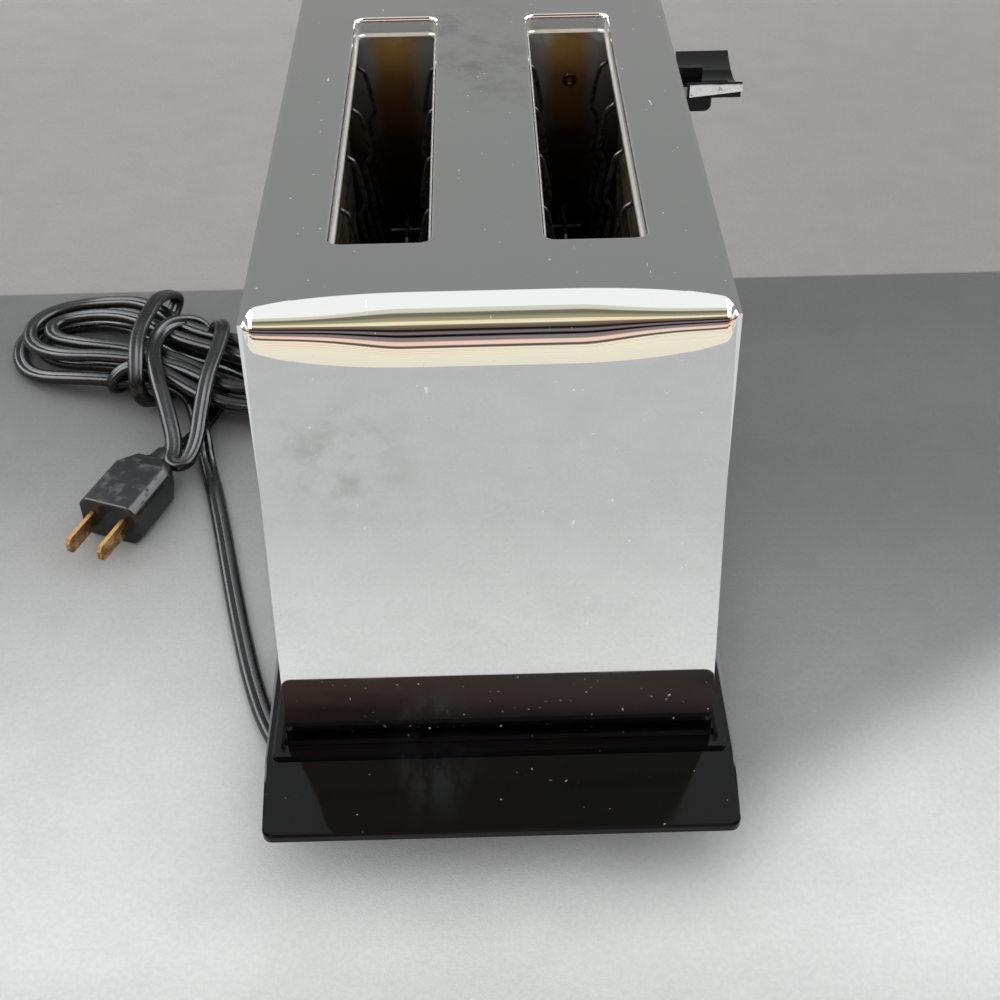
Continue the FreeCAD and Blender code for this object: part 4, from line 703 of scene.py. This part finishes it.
# Lift
# A ground steel rod guides the carriage on a brass bush, a wound wire spring pulls it
# up, and a lever arm, riveted to it, reaches out through the side to the knob.
turned_steel = worn_metal("turned_steel", (0.70, 0.70, 0.70), (0.50, 0.48, 0.45), 0.12, 0.3,
                          140, (1, 1, 0.1))
turned_steel.on(nodes["guide_rod"], nodes["latch_pin"], nodes["control_shaft"],
                nodes["tray_hinge_pin"])
worn_metal("spring_steel", (0.46, 0.46, 0.48), (0.22, 0.19, 0.17), 0.2, 0.4, 300).on(
    nodes["lift_spring"])
worn_metal("lever_steel", (0.66, 0.66, 0.66), (0.42, 0.40, 0.37), 0.2, 0.42,
           grain=(0.3, 1, 6)).on(nodes["latch_lever"])
lever_arm_look = Finish("lever_arm_finish")
# The arm is coloured black and not metallic where it reaches out past the side wall.
past_side_wall = lever_arm_look.rise(lever_arm_look.along("X"), 0.0640, 0.0643)
streaks = lever_arm_look.noise(380, 3, 0.6, lever_arm_look.stretched((0.3, 1, 6)))
lever_arm_look.give(Base_Color=lever_arm_look.tint(past_side_wall, (0.62, 0.62, 0.61), (0.004, 0.0042, 0.0045)),
             Metallic=1.0 - past_side_wall,
             Roughness=lever_arm_look.rise(streaks, 0.3, 0.7, 0.22, 0.42),
             Normal=lever_arm_look.relief(streaks, 0.00001))
lever_arm_look.on(nodes["lever_arm"])
brass = worn_metal("worked_brass", (0.72, 0.50, 0.25), (0.40, 0.25, 0.11), 0.18, 0.42, 160)
brass.on(nodes["carriage_bush"], nodes["thermostat_slide"], nodes["switch_springs"])

# Fasteners
# Zinc-plated screws, nuts, rivets and the clip that keeps the rod in its bracket.
worn_metal("zinc_plate", (0.66, 0.67, 0.68), (0.44, 0.43, 0.40), 0.22, 0.48, 380, (1, 1, 1)).on(
    nodes["base_screws"], nodes["chassis_nuts"], nodes["terminal_screws"],
    nodes["lever_rivets"], nodes["rod_clip"])

# Browning control
# A fluted phenolic knob on a steel shaft shifts the brass slide that sets how far the
# bimetal strip must bend; its pointer is bright metal.
dial = refined("browning_knob", 0.0003, 2)
phenolic.on(dial)
bimetal = Finish("bimetal_finish", Metallic=1.0)
sides = bimetal.rise(bimetal.noise(200, 4), 0.4, 0.6)
bimetal.give(Base_Color=bimetal.tint(sides, (0.62, 0.55, 0.42), (0.40, 0.33, 0.30)),
             Roughness=bimetal.rise(bimetal.noise(90, 3), 0.3, 0.7, 0.25, 0.45))
bimetal.on(nodes["bimetal_strip"])

# Switch and terminals
# Glazed ceramic blocks carry the contact springs and the mains terminals; leads in a
# woven glass sleeve run from there up to the elements.
glaze = Finish("ceramic_glaze", Coat_Roughness=0.1)
crackle = glaze.node("TexVoronoi", {"feature": "DISTANCE_TO_EDGE"},
                     {"Vector": glaze.place, "Scale": 500.0})
aged = glaze.rise(glaze.noise(120, 5, 0.6), 0.45, 0.7)
glaze.give(Base_Color=glaze.tint(aged, (0.74, 0.70, 0.61), (0.50, 0.42, 0.31)),
           Roughness=glaze.rise(aged, 0, 1, 0.28, 0.5),
           Coat_Weight=glaze.rise(crackle, 0.0, 0.02, 0.1, 0.5),
           Normal=glaze.relief(crackle, 0.00002))
glaze.on(nodes["terminal_block"], nodes["switch_block"])
braid = Finish("glass_braid", Roughness=0.85)
weft = braid.node("TexChecker", {}, {"Vector": braid.stretched((1, 1, 1), (0.6, 0.6, 0.8)),
                                     "Scale": 2200.0}, out="Fac")
singed = braid.rise(braid.noise(90, 4), 0.45, 0.7)
braid.give(Base_Color=braid.tint(singed, (0.62, 0.58, 0.50), (0.30, 0.24, 0.17)),
           Normal=braid.relief(weft, 0.0001))
braid.on(nodes["inner_leads"])

# Crumb tray
# A thin steel tray hinged under the base, with a small pull knob; toast crumbs have
# scratched and browned its upper side.
tray_steel = worn_metal("tray_steel", (0.60, 0.60, 0.60), (0.34, 0.27, 0.20), 0.22, 0.5, 50,
                        (1, 9, 1))
tray_steel.on(nodes["crumb_tray"], nodes["tray_knob"])

# Feet
# Four matt black rubber feet, each held by the screw that also holds the pan.
rubber = Finish("foot_rubber_finish", Specular_IOR_Level=0.3)
bloom = rubber.rise(rubber.noise(320, 4, 0.6), 0.45, 0.7)
rubber.give(Base_Color=rubber.tint(bloom, (0.014, 0.014, 0.014), (0.05, 0.048, 0.045)),
            Roughness=rubber.rise(bloom, 0, 1, 0.62, 0.85),
            Normal=rubber.relief(rubber.noise(1500, 2), 0.00004))
feet = refined("feet", 0.0003, 2, angle=30)
rubber.on(feet)

# Floor
# A pale grey cloth under the toaster, and a lighter one behind it. Light is painted
# into both: the near cloth has a painted bright band just before the toaster that fades
# away from the camera and a painted shadow of the toaster to its right, and the cloth
# behind is painted lighter farther back and darker to the right. What the bright shell
# mirrors before the cloth's near edge is a cream floor.
floor_finish = Finish("floor_cloth", Roughness=0.9)
across, away = floor_finish.along("X"), floor_finish.along("Y")
# Painted light: the cloth's tone steps with distance, brightest just before the toaster and darker
# farther away, as the light falls off.
cloth_painted_falloff = floor_finish.ramp(away + 0.5, *((y + 0.5, (tone * 0.99, tone * 1.01, tone)) for y, tone in (
    (-0.42, 0.44), (-0.25, 0.50), (-0.19, 0.66), (-0.165, 0.75), (-0.146, 0.70), (-0.09, 0.60),
    (-0.046, 0.50), (0.0, 0.38), (0.05, 0.26), (0.14, 0.158), (0.17, 0.150))))
# Painted shadow: the toaster's shadow on the cloth to its right, mixed in as black.
painted_toaster_shadow = floor_finish.rise(across, 0.02, 0.085) * floor_finish.rise(
    away - across * 0.6, -0.19, -0.14) * floor_finish.rise(away, 0.0, 0.14, 0.55, 0.26)
seen = floor_finish.tint(painted_toaster_shadow, cloth_painted_falloff, (0, 0, 0))
behind = floor_finish.rise(away, 0.176, 0.178)
# Painted light on the cloth behind: lighter farther back, and painted shade that darkens it towards the
# right.
wall = floor_finish.tint(floor_finish.rise(away, 0.35, 0.85), (0.315, 0.310, 0.295),
                         (0.44, 0.43, 0.41))
wall = floor_finish.tint(floor_finish.rise(across, -0.05, 0.25) * 0.12, wall, (0.0, 0.0, 0.0))
seen = floor_finish.tint(behind, seen, wall)
mirrored = floor_finish.node("LightPath", out="Is Glossy Ray")
near_edge = floor_finish.rise(away, -0.405, -0.425)
seen = floor_finish.tint(mirrored * near_edge, seen, (0.78, 0.73, 0.575))
weave = floor_finish.noise(1500, 2)
blotches = floor_finish.rise(floor_finish.noise(38, 5, 0.65), 0.35, 0.7, 0.0, 0.05)
threads = floor_finish.rise(floor_finish.noise(620, 3, 0.7), 0.35, 0.65, 0.0, 0.06)
floor_finish.give(Base_Color=floor_finish.tint(blotches + threads, seen, (0, 0, 0)), Normal=floor_finish.relief(weave, 0.0002))
bpy.ops.object.select_all(action="DESELECT")
bpy.ops.mesh.primitive_plane_add(size=8)
floor = bpy.context.active_object
floor.name = "floor"
floor_finish.on(floor)

# Surroundings
# Plain soft light from all round. The bright metal mirrors a grey wall behind, white
# lamps overhead, and the dim room, with a few coloured things, behind the camera.
world = bpy.data.worlds.new("studio")
bpy.context.scene.world = world
world.use_nodes = True
room = Pattern(world.node_tree, "Generated")
background = world.node_tree.nodes["Background"]
height, depth = room.along("Z"), room.along("Y")
turned = room.node("Math", {"operation": "ARCTAN2"}, {0: height, 1: depth})
wave = room.noise(3.0, 2) - 0.5
turned = room.node("Math", {"operation": "FRACT"}, {0: turned * (0.5 / pi) + wave * 0.016 + 1.0})
bands = room.ramp(turned, *((degrees / 360, colour) for degrees, colour in (
    (0, (0.36, 0.35, 0.34)), (26, (0.255, 0.26, 0.255)), (38, (0.235, 0.245, 0.24)),
    (40, (0.93, 0.94, 0.94)), (83, (0.94, 0.95, 0.92)), (85, (0.66, 0.66, 0.55)),
    (93, (0.64, 0.64, 0.52)), (95, (0.17, 0.16, 0.12)), (101, (0.18, 0.17, 0.12)),
    (104, (0.33, 0.31, 0.20)), (111, (0.38, 0.36, 0.22)), (113, (0.98, 0.92, 0.62)),
    (118, (0.92, 0.84, 0.58)), (120, (0.20, 0.17, 0.11)), (126, (0.16, 0.12, 0.09)),
    (128, (0.014, 0.011, 0.010)), (132, (0.012, 0.010, 0.010)), (134, (0.22, 0.18, 0.18)),
    (138, (0.20, 0.16, 0.165)), (139.5, (0.003, 0.002, 0.003)), (144, (0.004, 0.003, 0.005)),
    (145.5, (0.22, 0.22, 0.24)), (152, (0.26, 0.21, 0.18)), (154, (0.93, 0.70, 0.61)),
    (160, (0.90, 0.69, 0.58)), (161.5, (0.14, 0.10, 0.07)), (166, (0.13, 0.10, 0.06)),
    (167.5, (0.98, 0.93, 0.76)), (182, (0.84, 0.79, 0.62)), (196, (0.82, 0.77, 0.60)),
    (199, (0.60, 0.55, 0.42)), (203, (0.86, 0.81, 0.66)))))
aside = room.along("X")
warm = room.rise(turned, 0.25, 0.33) * room.rise(aside, 0.10, -0.30)
fine = room.noise(42, 3, 0.6, room.stretched((0.05, 1, 1)))
bands = room.node("Mix", {"data_type": "RGBA", "blend_type": "MULTIPLY"},
                  {0: warm, 6: bands, 7: (1.25, 0.88, 0.84)}, out=2)
bands = room.tint(room.rise(fine, 0.54, 0.66) * room.rise(turned, 0.25, 0.28) * 0.45, bands,
                  (0.03, 0.02, 0.02))
apart = room.node("Math", {"operation": "ABSOLUTE"}, {0: aside})
lamps = room.rise(apart + height * 0.5, 0.70, 0.76) * room.rise(apart, 0.88, 0.82)
lamps = lamps * room.rise(height, 0.30, 0.36) * room.rise(room.along("Y"), -0.30, -0.22)
bands = room.tint(lamps, bands, (6.0, 6.1, 6.3))
rays = room.node("LightPath", out="Is Camera Ray")
glossy = room.node("LightPath", out="Is Glossy Ray")
clear = room.node("LightPath", out="Is Transmission Ray")
light = room.tint(glossy, (1.10, 1.10, 1.10), bands)
light = room.tint(rays, light, (0.60, 0.60, 0.60))
room.join(background.inputs["Color"], light)
background.inputs["Strength"].default_value = 1.0

bpy.context.scene.view_settings.view_transform = "Standard"
